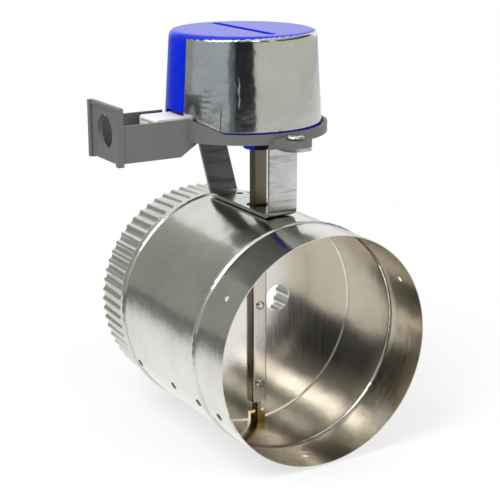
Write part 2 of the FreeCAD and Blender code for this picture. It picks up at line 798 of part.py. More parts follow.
def make_base():
    """Moulded tray with a seat for the cover, two screw ears and the wiring arm."""
    body = new_body("actuator_base", 0, dim.actuator_at, 0)
    sketch = new_sketch(body, "ring_outline", "XY", dim.actuator_up)
    draw_circle(sketch, dim.ring_radius)
    pad(body, "ring_blank", sketch, dim.arm_rise)

    sketch = new_sketch(body, "ring_ramp_outline", "XZ")
    high = arm_top + dim.tool_reach
    draw_loop(
        sketch,
        [
            (-dim.ring_ramp_from, arm_top),
            (-dim.ring_ramp_to, ring_top),
            (dim.ring_radius + dim.tool_reach, ring_top),
            (dim.ring_radius + dim.tool_reach, high),
            (-dim.ring_ramp_from, high),
        ],
    )
    pocket(body, "ring_ramp", sketch, 3 * dim.ring_radius, both_ways=True)

    sketch = new_sketch(body, "ear_outline", "XY", dim.actuator_up)
    ear, reach = dim.ear_radius, ear_reach
    inner = dim.ring_radius - dim.ear_root
    draw_loop(sketch, [(-ear, -inner), (-ear, -reach, ear), (ear, -reach), (ear, -inner)])
    draw_loop(sketch, [(-ear, inner), (-ear, reach, -ear), (ear, reach), (ear, inner)])
    pad(body, "ears", sketch, dim.ear_thickness)

    sketch = new_sketch(body, "arm_side", "XZ")
    draw_loop(
        sketch,
        [
            (-dim.arm_reach, arm_bottom),
            (-dim.arm_slant_from, arm_bottom),
            (-dim.arm_slant_to, dim.actuator_up),
            (-dim.arm_slant_to, arm_top),
            (-dim.arm_reach, arm_top),
        ],
    )
    pad(body, "arm_block", sketch, dim.arm_width, both_ways=True)

    sketch = new_sketch(body, "cover_room", "XY", shelf_top)
    draw_circle(sketch, ring_inside)
    pocket(body, "cover_seat", sketch)

    sketch = new_sketch(body, "spigot_outline", "XY", shelf_top - dim.blend_depth)
    draw_circle(sketch, spigot_outside)
    pad(body, "spigot", sketch, dim.spigot_height + dim.blend_depth)

    sketch = new_sketch(body, "tray_outline", "XY", floor_top)
    draw_circle(sketch, spigot_inside)
    pocket(body, "tray_room", sketch)

    sketch = new_sketch(body, "arm_room_side", "XZ")
    inner_reach = dim.arm_reach - dim.arm_end_wall
    inner_low = arm_bottom + dim.arm_wall
    draw_loop(
        sketch,
        [
            (-inner_reach, inner_low),
            (-dim.arm_slant_from + dim.blend_depth, inner_low),
            (-dim.arm_slant_to, floor_top),
            (-dim.arm_slant_to + dim.arm_throat, floor_top),
            (-dim.arm_slant_to + dim.arm_throat, high),
            (-inner_reach, high),
        ],
    )
    pocket(body, "arm_room", sketch, dim.arm_width - 2 * dim.arm_wall, both_ways=True)

    plate_inner = dim.arm_reach - dim.blend_depth
    plate_outer = plate_inner + dim.end_plate_thickness
    half = dim.end_plate_width / 2
    low = dim.actuator_up - dim.end_plate_drop
    top = dim.actuator_up + dim.end_plate_rise
    sketch = new_sketch(body, "end_plate_outline", "YZ", -plate_outer)
    draw_box(sketch, -half, half, low, top)
    pad(body, "end_plate", sketch, dim.end_plate_thickness)
    sketch = new_sketch(body, "rail_outline", "YZ", -plate_outer - dim.rail_stand)
    draw_box(sketch, -half, -half + dim.rail_width, dim.actuator_up - dim.rail_drop, top)
    draw_box(sketch, half - dim.rail_width, half, dim.actuator_up - dim.rail_drop, top)
    pad(body, "rails", sketch, dim.end_plate_thickness + dim.rail_stand)
    sketch = new_sketch(body, "top_rail_outline", "YZ", -plate_outer - 0.5 * dim.rail_stand)
    margin = half - dim.end_plate_margin
    draw_box(sketch, -margin, margin, top - 0.6 * dim.rail_width, top)
    pad(body, "top_rail", sketch, dim.end_plate_thickness)
    sketch = new_sketch(body, "knockout_outline", "YZ", -plate_outer - 2 * dim.rail_stand)
    draw_circle(sketch, dim.knockout_radius, 0, dim.actuator_up + dim.knockout_rise)
    pocket(body, "knockout", sketch, dim.end_plate_thickness + dim.tool_reach)

    under = dim.actuator_up - dim.tool_reach
    sketch = new_sketch(body, "hub_opening_outline", "XY", under)
    draw_circle(sketch, dim.hub_radius + dim.hub_gap, 0, dim.shaft_at - dim.actuator_at)
    pocket(body, "hub_opening", sketch, dim.base_floor + 2 * dim.tool_reach)

    sketch = new_sketch(body, "ear_holes_outline", "XY", under)
    for side in (-ear_reach, ear_reach):
        draw_circle(sketch, dim.base_screw_radius + 2 * dim.running_gap, 0, side)
    pocket(body, "ear_holes", sketch, dim.ear_thickness + 2 * dim.tool_reach)

    for name, spots, top_of in (
        ("plate_posts", PLATE_POSTS, plate_bottom),
        ("board_posts", BOARD_POSTS, board_bottom),
    ):
        sketch = new_sketch(body, name + "_outline", "XY", floor_top - dim.blend_depth)
        for across, along in spots:
            draw_circle(sketch, dim.post_radius, across, along)
        pad(body, name, sketch, top_of - floor_top + dim.blend_depth)
        sketch = new_sketch(body, name + "_pilot_outline", "XY", top_of - dim.small_screw_length)
        for across, along in spots:
            draw_circle(sketch, dim.small_screw_radius + dim.running_gap, across, along)
        pocket(body, name + "_pilots", sketch, dim.small_screw_length + dim.tool_reach)
    return body


def make_cover():
    """Drafted cup with a rounded crown, a straight keyway and a notch for the wiring."""
    body = new_body("actuator_cover", 0, dim.actuator_at, 0)
    sketch = new_sketch(body, "cup_profile", "XZ")
    edge, wall = dim.cover_edge, dim.cover_wall
    low, top = shelf_top, shelf_top + dim.cover_height
    centre = dim.cover_top_radius - edge
    crown = []
    for degrees in CROWN_ANGLES:
        across, up = math.cos(math.radians(degrees)), math.sin(math.radians(degrees))
        crown.append((centre + edge * across, top - edge + edge * up))
    inside = [(0, top - wall), (centre, top - wall), (centre + edge - wall, top - edge)]
    draw_loop(sketch, [(cover_inside, low), (dim.cover_radius, low)] + crown + [(0, top)] + inside)
    revolve(body, "cup_turn", sketch)

    sketch = new_sketch(body, "keyway_outline", "XY", top - dim.keyway_depth)
    half, end = dim.keyway_width / 2, dim.keyway_length / 2 - dim.keyway_width / 2
    draw_loop(sketch, [(half, -end), (half, end, half), (-half, end), (-half, -end, half)])
    pocket(body, "keyway", sketch)

    sketch = new_sketch(body, "notch_outline", "YZ", -dim.cover_radius - dim.tool_reach)
    half = dim.cover_notch_width / 2
    draw_box(sketch, -half, half, low - dim.tool_reach, low + dim.cover_notch_height)
    pocket(body, "wiring_notch", sketch, dim.cover_notch_reach)
    return body


def make_label():
    """Foil sheet wrapped round the cover's skirt."""
    slope = (dim.cover_radius - dim.cover_top_radius) / (dim.cover_height - dim.cover_edge)
    low = shelf_top + dim.label_from_bottom
    low_radius = dim.cover_radius - slope * dim.label_from_bottom
    high_radius = low_radius - slope * dim.label_height
    cones = []
    glue = dim.label_glue
    for label, extra in (("foil_outside", glue + dim.label_thickness), ("foil_inside", glue)):
        cone = doc.addObject("Part::Cone", label)
        bind(cone, "Radius1", low_radius + extra)
        bind(cone, "Radius2", high_radius + extra)
        bind(cone, "Height", dim.label_height)
        bind(cone, "Angle", dim.label_sweep)
        place(cone, 0, dim.actuator_at, low, Rotation(Vector(0, 0, 1), dim.label_start_angle.value))
        cones.append(cone)
    notch_top = shelf_top + dim.cover_notch_height
    width = dim.cover_notch_width
    under = low - dim.tool_reach
    notch = box("foil_notch", dim.cover_notch_reach, width, notch_top - under,
                -dim.cover_radius - dim.tool_reach, dim.actuator_at - width / 2, under)
    return cut("foil_label", cones[0], [cones[1], notch])


def make_blade():
    """Round sheet blade with a bypass hole and relief cuts at both pivots."""
    body = new_body("damper_blade", 0, blade_front, 0)
    sketch = new_sketch(body, "blade_outline", "XZ", -dim.blade_sheet)
    draw_circle(sketch, blade_radius)
    draw_circle(sketch, dim.bypass_hole_radius, dim.bypass_hole_across, dim.bypass_hole_up)
    for up in (dim.upper_rivet_up, dim.middle_rivet_up, dim.lower_rivet_up):
        draw_circle(sketch, dim.blade_rivet_radius, 0, up)
    pad(body, "blade_disc", sketch, dim.blade_sheet)
    sketch = new_sketch(body, "relief_outline", "XZ", -2 * dim.blade_sheet)
    relief = dim.blade_relief
    half = dim.lower_bushing_across_flats / math.sqrt(3) + relief
    beyond = blade_radius + dim.tool_reach
    draw_box(sketch, -half, half, -beyond, lower_bushing_top + relief)
    half = dim.upper_bushing_flange_radius + relief
    draw_box(sketch, -half, half, upper_bushing_bottom - relief, beyond)
    pocket(body, "pivot_reliefs", sketch, 3 * dim.blade_sheet)
    return body


def make_channel():
    """Folded channel that is both the blade's stiffener and its shaft."""
    body = new_body("blade_shaft", 0, dim.shaft_at, 0)
    sketch = new_sketch(body, "channel_section", "XY", dim.channel_bottom)
    half, wall = dim.channel_width / 2, dim.channel_sheet
    front, rear = -dim.channel_front, dim.channel_rear
    bend = 1.4 * wall
    small = bend - wall
    draw_loop(
        sketch,
        [
            (-half, rear),
            (-half, front + bend, bend),
            (-half + bend, front),
            (half - bend, front, bend),
            (half, front + bend),
            (half, rear),
            (half - wall, rear),
            (half - wall, front + bend, -small),
            (half - bend, front + wall),
            (-half + bend, front + wall, -small),
            (-half + wall, front + bend),
            (-half + wall, rear),
        ],
    )
    pad(body, "channel_length", sketch, dim.channel_top - dim.channel_bottom)
    sketch = new_sketch(body, "rivet_holes_outline", "XZ", -front - 2 * wall)
    for up in (dim.upper_rivet_up, dim.middle_rivet_up, dim.lower_rivet_up):
        draw_circle(sketch, dim.blade_rivet_radius, 0, up)
    pocket(body, "rivet_holes", sketch, 4 * wall)
    return body


def make_blade_rivets():
    """Rivets through the channel's web and the blade."""
    grip = dim.channel_front.value + dim.channel_rear.value + dim.blade_sheet.value
    head = dim.blade_rivet_head_radius.value
    shank = dim.blade_rivet_radius.value - dim.bushing_fit.value
    tail = dim.blade_rivet_tail.value
    master = headed_fastener(shank, grip, head, dim.blade_rivet_head.value, 0.87 * head, tail)
    turn = Rotation(Vector(0, 0, 1), Vector(0, -1, 0))
    front = dim.shaft_at.value - dim.channel_front.value
    spots = []
    for up in (dim.upper_rivet_up, dim.middle_rivet_up, dim.lower_rivet_up):
        spots.append(Placement(Vector(0, front, up.value), turn))
    return group("blade_rivets", master, spots)


def make_coupler():
    """Moulded drive hub with a slot that takes the top of the channel."""
    body = new_body("drive_coupler", 0, dim.shaft_at, 0)
    sketch = new_sketch(body, "coupler_profile", "XZ")
    neck, hub = dim.hub_neck_radius, dim.hub_radius
    shoulder = floor_top + dim.hub_shoulder
    top = cam_bottom + dim.cam_thickness
    draw_loop(
        sketch,
        [(0, hub_bottom), (hub, hub_bottom), (hub, shoulder), (neck, shoulder), (neck, top), (0, top)],
    )
    revolve(body, "coupler_turn", sketch)
    sketch = new_sketch(body, "key_slot_outline", "XY", hub_bottom - dim.tool_reach)
    play = dim.slot_play
    half = dim.channel_width / 2 + play
    draw_box(sketch, -half, half, -dim.channel_front - play, dim.channel_rear + play)
    pocket(body, "key_slot", sketch, dim.channel_top - hub_bottom + dim.tool_reach + play)
    return body


def involute(base, radius):
    """Polar angle of an involute that starts on the base circle, at a radius."""
    if radius <= base:
        return 0.0
    roll = math.sqrt(radius * radius / (base * base) - 1)
    return roll - math.atan(roll)


def gear_outline(teeth, turn):
    """Spur gear outline: each flank follows the involute at four radii."""
    module, pressure = dim.gear_module.value, math.radians(25)
    pitch = 0.5 * module * teeth
    base = pitch * math.cos(pressure)
    tip, foot = pitch + 0.9 * module, pitch - 1.15 * module
    half_at_pitch = math.pi / (2 * teeth) - dim.tooth_backlash.value / (2 * pitch)
    flank_start = max(foot, base)
    radii = [flank_start + (tip - flank_start) * step / 3 for step in range(4)]
    points = []
    for tooth in range(teeth):
        middle = math.radians(turn) + 2 * math.pi * tooth / teeth
        halves = [half_at_pitch + involute(base, pitch) - involute(base, r) for r in radii]
        if foot < flank_start:
            points.append((foot, middle - halves[0]))
        points += [(r, middle - half) for r, half in zip(radii, halves)]
        points += [(r, middle + half) for r, half in reversed(list(zip(radii, halves)))]
        if foot < flank_start:
            points.append((foot, middle + halves[0]))
    corners = [Vector(r * math.cos(angle), r * math.sin(angle), 0) for r, angle in points]
    return Part.Face(Part.makePolygon(corners + corners[:1]))


def make_gear(label, teeth, turn, bore, face, along, bottom):
    """Spur gear on a shaft along Z."""
    blank = gear_outline(teeth, turn).extrude(Vector(0, 0, face.value))
    hole = Part.makeCylinder(bore.value, face.value)
    return computed(label, blank.cut(hole), 0, along, bottom)


def make_gears():
    """Output gear on the coupler, pinion on the motor's shaft, in mesh at rest."""
    face = dim.gear_face
    teeth = SIZES["output_teeth"]
    gap_at = 90 + 180 / teeth
    bore = dim.hub_neck_radius + dim.bushing_fit
    make_gear("output_gear", teeth, gap_at, bore, face, dim.shaft_at, gear_bottom)
    teeth = SIZES["pinion_teeth"]
    overhang = dim.pinion_overhang
    bore = dim.pinion_shaft_radius + dim.bushing_fit
    make_gear("motor_pinion", teeth, -90, bore, face + 2 * overhang, pinion_at, gear_bottom - overhang)


def make_cam():
    """Switch cam on top of the coupler: a round with one raised lobe."""
    height = dim.cam_thickness
    body = new_body("switch_cam", 0, dim.shaft_at, cam_bottom)
    sketch = new_sketch(body, "cam_outline", "XY")
    draw_circle(sketch, dim.cam_radius)
    draw_circle(sketch, dim.hub_neck_radius + dim.bushing_fit)
    pad(body, "cam_round", sketch, height)
    sketch = new_sketch(body, "lobe_outline", "XY")
    half = math.radians(SIZES["cam_lobe_sweep"] / 2)
    inner, outer = dim.cam_radius - dim.blend_depth, dim.cam_lobe
    low, high = Vector(math.cos(half), math.sin(half), 0), 0.9
    draw_loop(
        sketch,
        [
            (inner * low.x, -low.y * inner),
            (outer * low.x * high, -low.y * outer * high, outer),
            (outer * low.x * high, low.y * outer * high),
            (inner * low.x, low.y * inner, -inner),
        ],
    )
    pad(body, "cam_lobe_pad", sketch, height)
    return body


def make_motor():
    """Gear motor: round gearbox with two ears, and the motor can on top of it."""
    x, y = dim.motor_across, motor_at
    box_low, box_high = plate_top, plate_top + dim.gearbox_height
    gearbox = cylinder("gearbox_round", dim.gearbox_radius, dim.gearbox_height, x, y, box_low)
    ear_end = dim.gearbox_radius + dim.motor_ear_reach
    width, sheet_t = dim.motor_ear_width, dim.motor_ear_sheet
    ears = box("gearbox_ears", 2 * ear_end, width, sheet_t, x - ear_end, y - width / 2, box_low)
    can = cylinder("motor_can", dim.motor_radius, dim.motor_height, x, y, box_high)
    cap_bottom = box_high + dim.motor_height
    cap = cylinder("motor_cap", 0.35 * dim.motor_radius, dim.motor_cap_height, x, y, cap_bottom)
    blank = fuse("motor_blank", [gearbox, ears, can, cap])
    bore_radius = dim.pinion_shaft_radius + dim.running_gap
    bore_top = plate_top + dim.pinion_shaft_top + dim.pivot_end_gap
    under = box_low - dim.tool_reach
    tools = [cylinder("output_bore", bore_radius, bore_top - under, 0, pinion_at, under)]
    for side in (-1, 1):
        tools.append(cylinder("motor_ear_hole_" + str(side + 1), dim.small_screw_radius,
                              sheet_t + 2 * dim.tool_reach, x + side * motor_ear_hole_at, y, under))
    return cut("gear_motor", blank, tools)


def make_motor_plate():
    """Steel plate on four posts that carries the motor and the switches."""
    body = new_body("motor_plate", 0, dim.actuator_at, plate_bottom)
    sketch = new_sketch(body, "plate_outline", "XY")
    chord, radius = dim.plate_chord, dim.plate_radius
    end = root(radius * radius - chord * chord)
    draw_loop(sketch, [(-chord, -end, radius), (radius, 0, radius), (-chord, end)])
    hub_room = dim.hub_neck_radius + dim.plate_hub_room
    draw_circle(sketch, hub_room, 0, dim.shaft_at - dim.actuator_at)
    pinion_room = dim.pinion_shaft_radius + dim.plate_pinion_room
    draw_circle(sketch, pinion_room, 0, pinion_at - dim.actuator_at)
    screws = list(PLATE_POSTS)
    for side in (-1, 1):
        screws.append((dim.motor_across + side * motor_ear_hole_at, dim.motor_along))
        for along in switch_screws_at:
            screws.append((side * switch_middle, dim.shaft_at - dim.actuator_at + along))
    for across, along in screws:
        draw_circle(sketch, dim.small_screw_radius, across, along)
    pad(body, "plate_sheet", sketch, dim.plate_sheet)
    return body


def make_switch(label, side):
    """Small snap switch lying on the plate, its lever towards the cam."""
    low = plate_top
    across = dim.switch_across
    left = across if side > 0 else -across - dim.switch_depth
    y = dim.shaft_at - dim.switch_length / 2
    case = box(label + "_case", dim.switch_depth, dim.switch_length, dim.switch_thickness, left, y, low)
    face = across if side > 0 else -across
    knob = dim.switch_plunger
    width = dim.switch_lever_width
    lever_low = low + (dim.switch_thickness - width) / 2
    plunger = box(label + "_plunger", knob, knob, knob, face - knob / 2, dim.shaft_at + knob,
                  low + (dim.switch_thickness - knob) / 2)
    hinge_y = y + 0.2 * dim.switch_length
    lever = box(label + "_lever", dim.switch_lever_sheet, 0.8 * dim.switch_length, width)
    gap = dim.switch_lever_gap
    turn = Rotation(Vector(0, 0, 1), side * SWITCH_LEVER_ANGLE)
    place(lever, face - side * gap, hinge_y, lever_low, turn)
    foot = box(label + "_lever_foot", 2.4 * gap, gap, width, face - 1.2 * gap, hinge_y - gap / 2, lever_low)
    pieces = [case, plunger, lever, foot]
    reach, pitch = dim.switch_terminal_reach, dim.switch_terminal_pitch
    back = left + dim.switch_depth if side > 0 else left - reach
    middle = dim.shaft_at - dim.switch_terminal_sheet / 2
    for index in (-1, 0, 1):
        pieces.append(box(label + "_terminal_" + str(index + 1), reach, dim.switch_terminal_sheet,
                          dim.switch_terminal_width, back, middle + index * pitch, low + reach))
    blank = fuse(label + "_blank", pieces)
    tools = []
    for index, along in enumerate(switch_screws_at):
        centre = left + dim.switch_depth / 2
        tools.append(cylinder(label + "_hole_" + str(index), dim.small_screw_radius,
                              2 * dim.switch_thickness, centre, dim.shaft_at + along, low - dim.plate_sheet))
    return cut(label, blank, tools)


def make_board():
    """Circuit board on two posts, with a relay, a capacitor and a row of resistors."""
    middle = dim.actuator_at
    width = dim.board_far - dim.board_near
    blank = box("board_blank", width, dim.board_width, dim.board_thickness, -dim.board_far,
                middle - dim.board_width / 2, board_bottom)
    holes = []
    for index, (across, along) in enumerate(BOARD_POSTS):
        holes.append(cylinder("board_hole_" + str(index), dim.small_screw_radius, 3 * dim.board_thickness,
                              across, middle + along, board_bottom - dim.board_thickness))
    cut("circuit_board", blank, holes)
    far = -dim.board_far
    box("relay", dim.relay_length, dim.relay_width, dim.relay_height, far + dim.relay_in,
        middle - dim.board_width / 30, board_top)
    cylinder("capacitor", dim.capacitor_radius, dim.capacitor_height, far + dim.capacitor_in,
             middle - dim.capacitor_across, board_top)


def make_resistors():
    """Three small resistors with their bent leads, standing on the board."""
    radius, length = dim.resistor_radius.value, dim.resistor_length.value
    half_span, lead = dim.resistor_span.value / 2, dim.resistor_lead.value
    up, pitch = dim.resistor_up.value, dim.resistor_pitch.value
    bodies = []
    for index in range(3):
        barrel = Part.makeCylinder(radius, length, Vector(0, -length / 2, 0), Vector(0, 1, 0))
        low = Vector(-lead / 2, -half_span - lead / 2, -lead / 2)
        wire = Part.makeBox(lead, 2 * half_span + lead, lead, low)
        legs = [Part.makeBox(lead, lead, up, Vector(-lead / 2, end - lead / 2, -up))
                for end in (-half_span, half_span)]
        piece = barrel.fuse([wire] + legs)
        x = -dim.board_near.value - pitch * (index + 1)
        piece.translate(Vector(x, dim.actuator_at.value, board_top.value + up))
        bodies.append(piece)
    return computed("resistors", Part.makeCompound(bodies))


def make_connector():
    """Harness inlet: a stepped housing with square cavities, and its row of contacts."""
    width = dim.connector_width
    y = dim.actuator_at - width / 2
    low = arm_bottom + dim.arm_wall
    top = dim.actuator_up + dim.connector_top
    shelf = floor_top + dim.blend_depth
    front = box("connector_front", dim.connector_far - dim.connector_step, width, top - low,
                -dim.connector_far, y, low)
    rear = box("connector_rear", dim.connector_step - dim.connector_near, width, top - shelf,
               -dim.connector_step, y, shelf)
    blank = fuse("connector_blank", [front, rear])
    size, cavity = dim.contact_size, dim.cavity_size
    edge_x = -dim.connector_far
    contact_from = edge_x + dim.contact_set_back
    tools = []
    rows = []
    for index in range(SIZES["contact_count"]):
        offset = dim.contact_pitch * (index - (SIZES["contact_count"] - 1) / 2)
        side = dim.actuator_at + offset - size / 2
        tools.append(box("cavity_" + str(index), 2 * dim.cavity_depth, cavity, cavity,
                         edge_x - dim.cavity_depth, side + (size - cavity) / 2,
                         board_top + (size - cavity) / 2))
        tools.append(box("contact_slot_" + str(index), dim.contact_end, size, size, contact_from, side,
                         board_top))
        rows.append(box("contact_" + str(index), -dim.contact_end - contact_from, size, size,
                        contact_from, side, board_top))
    corner = dim.connector_corner
    tools.append(box("corner_block", corner, 3 * width, corner, edge_x, y - width, top - corner))
    cored = cut("connector_cored", blank, tools)
    rounded = cylinder("corner_round", corner, width, edge_x + corner, y, top - corner, axis="Y")
    keep = box("corner_room", corner, width, corner, edge_x, y, top - corner)
    quarter = doc.addObject("Part::Common", "rounded_corner")
    quarter.Base = rounded
    quarter.Tool = keep
    housing = fuse("harness_connector", [cored, quarter])
    contacts = doc.addObject("Part::Compound", "connector_pins")
    contacts.Links = rows
    return housing


def screw_groups():
    """All screws of the actuator, one node for each kind and place."""
    radius, length = dim.small_screw_radius.value, dim.small_screw_length.value
    head_radius, head = dim.small_screw_head_radius.value, dim.small_screw_head.value
    middle = dim.actuator_at.value

    def small(label, spots, seat, depth):
        master = headed_fastener(radius - dim.bushing_fit.value, depth, head_radius, head)
        group(label, master, [Placement(Vector(x, y, seat), Rotation()) for x, y in spots])

    posts = [(x, middle + y) for x, y in PLATE_POSTS]
    length -= dim.small_screw_end_gap.value
    small("plate_screws", posts, plate_top.value, dim.plate_sheet.value + length)
    posts = [(x, middle + y) for x, y in BOARD_POSTS]
    small("board_screws", posts, board_top.value, dim.board_thickness.value + length)
    reach = motor_ear_hole_at.value
    ears = [(dim.motor_across.value + side * reach, motor_at.value) for side in (-1, 1)]
    seat = plate_top.value + dim.motor_ear_sheet.value
    small("motor_screws", ears, seat, dim.motor_screw_length.value)
    spots = [(side * switch_middle.value, dim.shaft_at.value + along.value)
             for side in (-1, 1) for along in switch_screws_at]
    seat = plate_top.value + dim.switch_thickness.value
    small("switch_screws", spots, seat, dim.switch_screw_length.value)

    depth = dim.ear_thickness.value + dim.bracket_sheet.value + dim.base_screw_end.value
    master = headed_fastener(
        dim.base_screw_radius.value, depth, dim.base_screw_head_radius.value, dim.base_screw_head.value
    )
    seat = dim.actuator_up.value + dim.ear_thickness.value
    spots = [Vector(0, middle + side * ear_reach.value, seat) for side in (-1, 1)]
    group("base_screws", master, [Placement(spot, Rotation()) for spot in spots])


make_duct()
make_seam_rivets()
make_lower_bushing()
make_upper_bushing()
make_bracket()
make_base()
make_cover()
make_label()
make_blade()
make_channel()
make_blade_rivets()
pivot_length = dim.channel_bottom - pivot_bottom + dim.pivot_grip
cylinder("pivot_pin", dim.pivot_radius, pivot_length, 0, dim.shaft_at, pivot_bottom)
make_coupler()
make_gears()
make_cam()
make_motor()
make_motor_plate()
shaft_bottom = gear_bottom - dim.pinion_shaft_end
shaft_length = plate_top + dim.pinion_shaft_top - shaft_bottom
cylinder("pinion_shaft", dim.pinion_shaft_radius, shaft_length, 0, pinion_at, shaft_bottom)
make_switch("closed_switch", 1)
make_switch("open_switch", -1)
make_board()
make_resistors()
make_connector()
screw_groups()

NODES = (
    "vent_pipe",
    "seam_rivets",
    "lower_bushing",
    "upper_bushing",
    "actuator_bracket",
    "actuator_base",
    "base_screws",
    "actuator_cover",
    "foil_label",
    "damper_blade",
    "blade_shaft",
    "blade_rivets",
    "pivot_pin",
    "drive_coupler",
    "output_gear",
    "switch_cam",
    "motor_pinion",
    "pinion_shaft",
    "gear_motor",
    "motor_screws",
    "motor_plate",
    "plate_screws",
    "closed_switch",
    "open_switch",
    "switch_screws",
    "circuit_board",
    "board_screws",
    "relay",
    "capacitor",
    "resistors",
    "harness_connector",
    "connector_pins",
)

doc.recompute()
for thing in doc.Objects:
    if "Invalid" in thing.State or "Error" in thing.State:
        raise RuntimeError(thing.Label + " failed: " + str(thing.State))
os.makedirs("parts", exist_ok=True)
for label in NODES:
    piece = doc.getObjectsByLabel(label)[0]
    if piece.Shape.isNull() or not piece.Shape.isValid():
        raise RuntimeError(label + " has no valid shape")
    if not piece.Shape.Solids:
        raise RuntimeError(label + " has no solid")
    piece.Shape.exportStep(os.path.join("parts", label + ".step"))
    print(label, len(piece.Shape.Solids), "solids", round(piece.Shape.Volume, 1), "mm3")
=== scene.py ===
# %% [markdown]
# # Gas vent damper
# A short round duct of bright stainless sheet holds a turning blade. A motor
# unit under a blue drum cover stands over it on a bent steel strip, and a grey
# moulded arm carries the wires away. The CAD model gives every place and size.
# This script adds the finish: smooth rolled sheet, rounded edges, foil and
# light.

import json
import math

import bmesh
import bpy
import numpy as np
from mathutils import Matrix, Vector

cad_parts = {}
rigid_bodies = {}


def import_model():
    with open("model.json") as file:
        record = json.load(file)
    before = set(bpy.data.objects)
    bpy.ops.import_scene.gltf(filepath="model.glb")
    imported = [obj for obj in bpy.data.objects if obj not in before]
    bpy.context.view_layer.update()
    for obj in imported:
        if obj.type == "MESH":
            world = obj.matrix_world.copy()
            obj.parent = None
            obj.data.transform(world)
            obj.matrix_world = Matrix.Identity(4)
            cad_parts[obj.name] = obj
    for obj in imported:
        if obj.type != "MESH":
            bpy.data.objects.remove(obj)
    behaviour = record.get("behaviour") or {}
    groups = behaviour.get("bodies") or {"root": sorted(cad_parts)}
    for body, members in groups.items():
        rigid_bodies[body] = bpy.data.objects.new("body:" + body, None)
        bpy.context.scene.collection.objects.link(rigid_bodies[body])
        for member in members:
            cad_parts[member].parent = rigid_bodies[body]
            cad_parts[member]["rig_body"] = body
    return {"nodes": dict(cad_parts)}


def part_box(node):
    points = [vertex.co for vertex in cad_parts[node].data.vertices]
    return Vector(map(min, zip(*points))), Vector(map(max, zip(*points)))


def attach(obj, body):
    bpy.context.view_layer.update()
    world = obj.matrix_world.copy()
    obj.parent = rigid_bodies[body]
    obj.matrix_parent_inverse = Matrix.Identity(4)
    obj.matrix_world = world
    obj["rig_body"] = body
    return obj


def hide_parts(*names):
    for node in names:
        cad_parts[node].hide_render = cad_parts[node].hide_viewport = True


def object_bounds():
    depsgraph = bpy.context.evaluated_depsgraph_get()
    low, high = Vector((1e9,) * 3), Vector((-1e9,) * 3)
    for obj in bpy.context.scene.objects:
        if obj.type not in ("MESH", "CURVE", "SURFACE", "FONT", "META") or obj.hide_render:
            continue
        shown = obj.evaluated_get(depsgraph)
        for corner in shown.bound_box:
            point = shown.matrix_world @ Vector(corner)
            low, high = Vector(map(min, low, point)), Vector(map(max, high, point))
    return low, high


for leftover in list(bpy.data.objects):
    bpy.data.objects.remove(leftover)
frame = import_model()
cad_low, cad_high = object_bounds()
MM = 0.001
print("CAD box", [round(v / MM, 1) for v in (*cad_low, *cad_high)])

# %% [markdown]
# ## The camera
# The photograph was taken from the front left, a little above the duct. The
# place, the two angles and the focal length come from fitting the duct's rims
# and the bracket's corners. A camera could be aimed at a target instead, but
# plain angles are easier to read.

# %% Camera
CAMERA_AT = Vector((-442.81, -643.13, 292.77)) * MM
CAMERA_AZIMUTH = math.radians(-30.97)
CAMERA_ELEVATION = math.radians(16.09)
CAMERA_LENS = 94.36


def level_direction(azimuth, elevation):
    """Unit vector at an azimuth from -Y towards +X, raised by an elevation."""
    flat = math.cos(elevation)
    return Vector((math.sin(azimuth) * flat, -math.cos(azimuth) * flat, math.sin(elevation)))


camera_back = level_direction(CAMERA_AZIMUTH, CAMERA_ELEVATION)
camera_data = bpy.data.cameras.new("studio_camera")
camera_data.lens = CAMERA_LENS
camera_data.clip_start, camera_data.clip_end = 0.05, 50.0
camera = bpy.data.objects.new("studio_camera", camera_data)
camera.location = CAMERA_AT
camera.rotation_mode = "QUATERNION"
camera.rotation_quaternion = (-camera_back).to_track_quat("-Z", "Y")
bpy.context.scene.collection.objects.link(camera)
bpy.context.scene.camera = camera
print("camera looks along", tuple(round(v, 3) for v in -camera_back))

# %% [markdown]
# ## Node helpers
# Every finish is a node tree. Small helpers keep the trees short: they add a
# node and fill its sockets, make a group with named sockets, start a material,
# do a sum, blend two colours and stretch a value over a range.


# %% Node helpers
def add(tree, kind, sockets=None, **settings):
    """A new node. sockets maps an input's name or number to a value or to an output."""
    made = tree.nodes.new(kind)
    for name, value in settings.items():
        setattr(made, name, value)
    for name, value in (sockets or {}).items():
        if isinstance(value, bpy.types.NodeSocket):
            tree.links.new(value, made.inputs[name])
        else:
            made.inputs[name].default_value = value
    return made


def group_tree(name, inputs, outputs):
    """A shader node group with float or vector sockets, and its two end nodes."""
    tree = bpy.data.node_groups.new(name, "ShaderNodeTree")
    for label, default in inputs.items():
        vector = isinstance(default, tuple)
        kind = "NodeSocketVector" if vector else "NodeSocketFloat"
        socket = tree.interface.new_socket(label, in_out="INPUT", socket_type=kind)
        socket.default_value = default
    for label in outputs:
        tree.interface.new_socket(label, in_out="OUTPUT", socket_type="NodeSocketFloat")
    return tree, tree.nodes.new("NodeGroupInput"), tree.nodes.new("NodeGroupOutput")


def start_material(name, **plain):
    """A material with its tree, its Principled shader and object coordinates."""
    material = bpy.data.materials.new(name)
    material.use_nodes = True
    tree = material.node_tree
    shader = tree.nodes["Principled BSDF"]
    for label, value in plain.items():
        shader.inputs[label.replace("_", " ")].default_value = value
    place = tree.nodes.new("ShaderNodeTexCoord").outputs["Object"]
    return material, tree, shader, place


def empty_material(name):
    """A material without any node, and its tree."""
    material = bpy.data.materials.new(name)
    material.use_nodes = True
    material.node_tree.nodes.clear()
    return material, material.node_tree


def compute(tree, operation, *values):
    """The result of a Math node on values that may be linked."""
    return add(tree, "ShaderNodeMath", dict(enumerate(values)), operation=operation).outputs[0]


def coordinate(tree, vector, axis):
    """One coordinate of a linked vector: axis 0, 1 or 2."""
    return add(tree, "ShaderNodeSeparateXYZ", {0: vector}).outputs[axis]


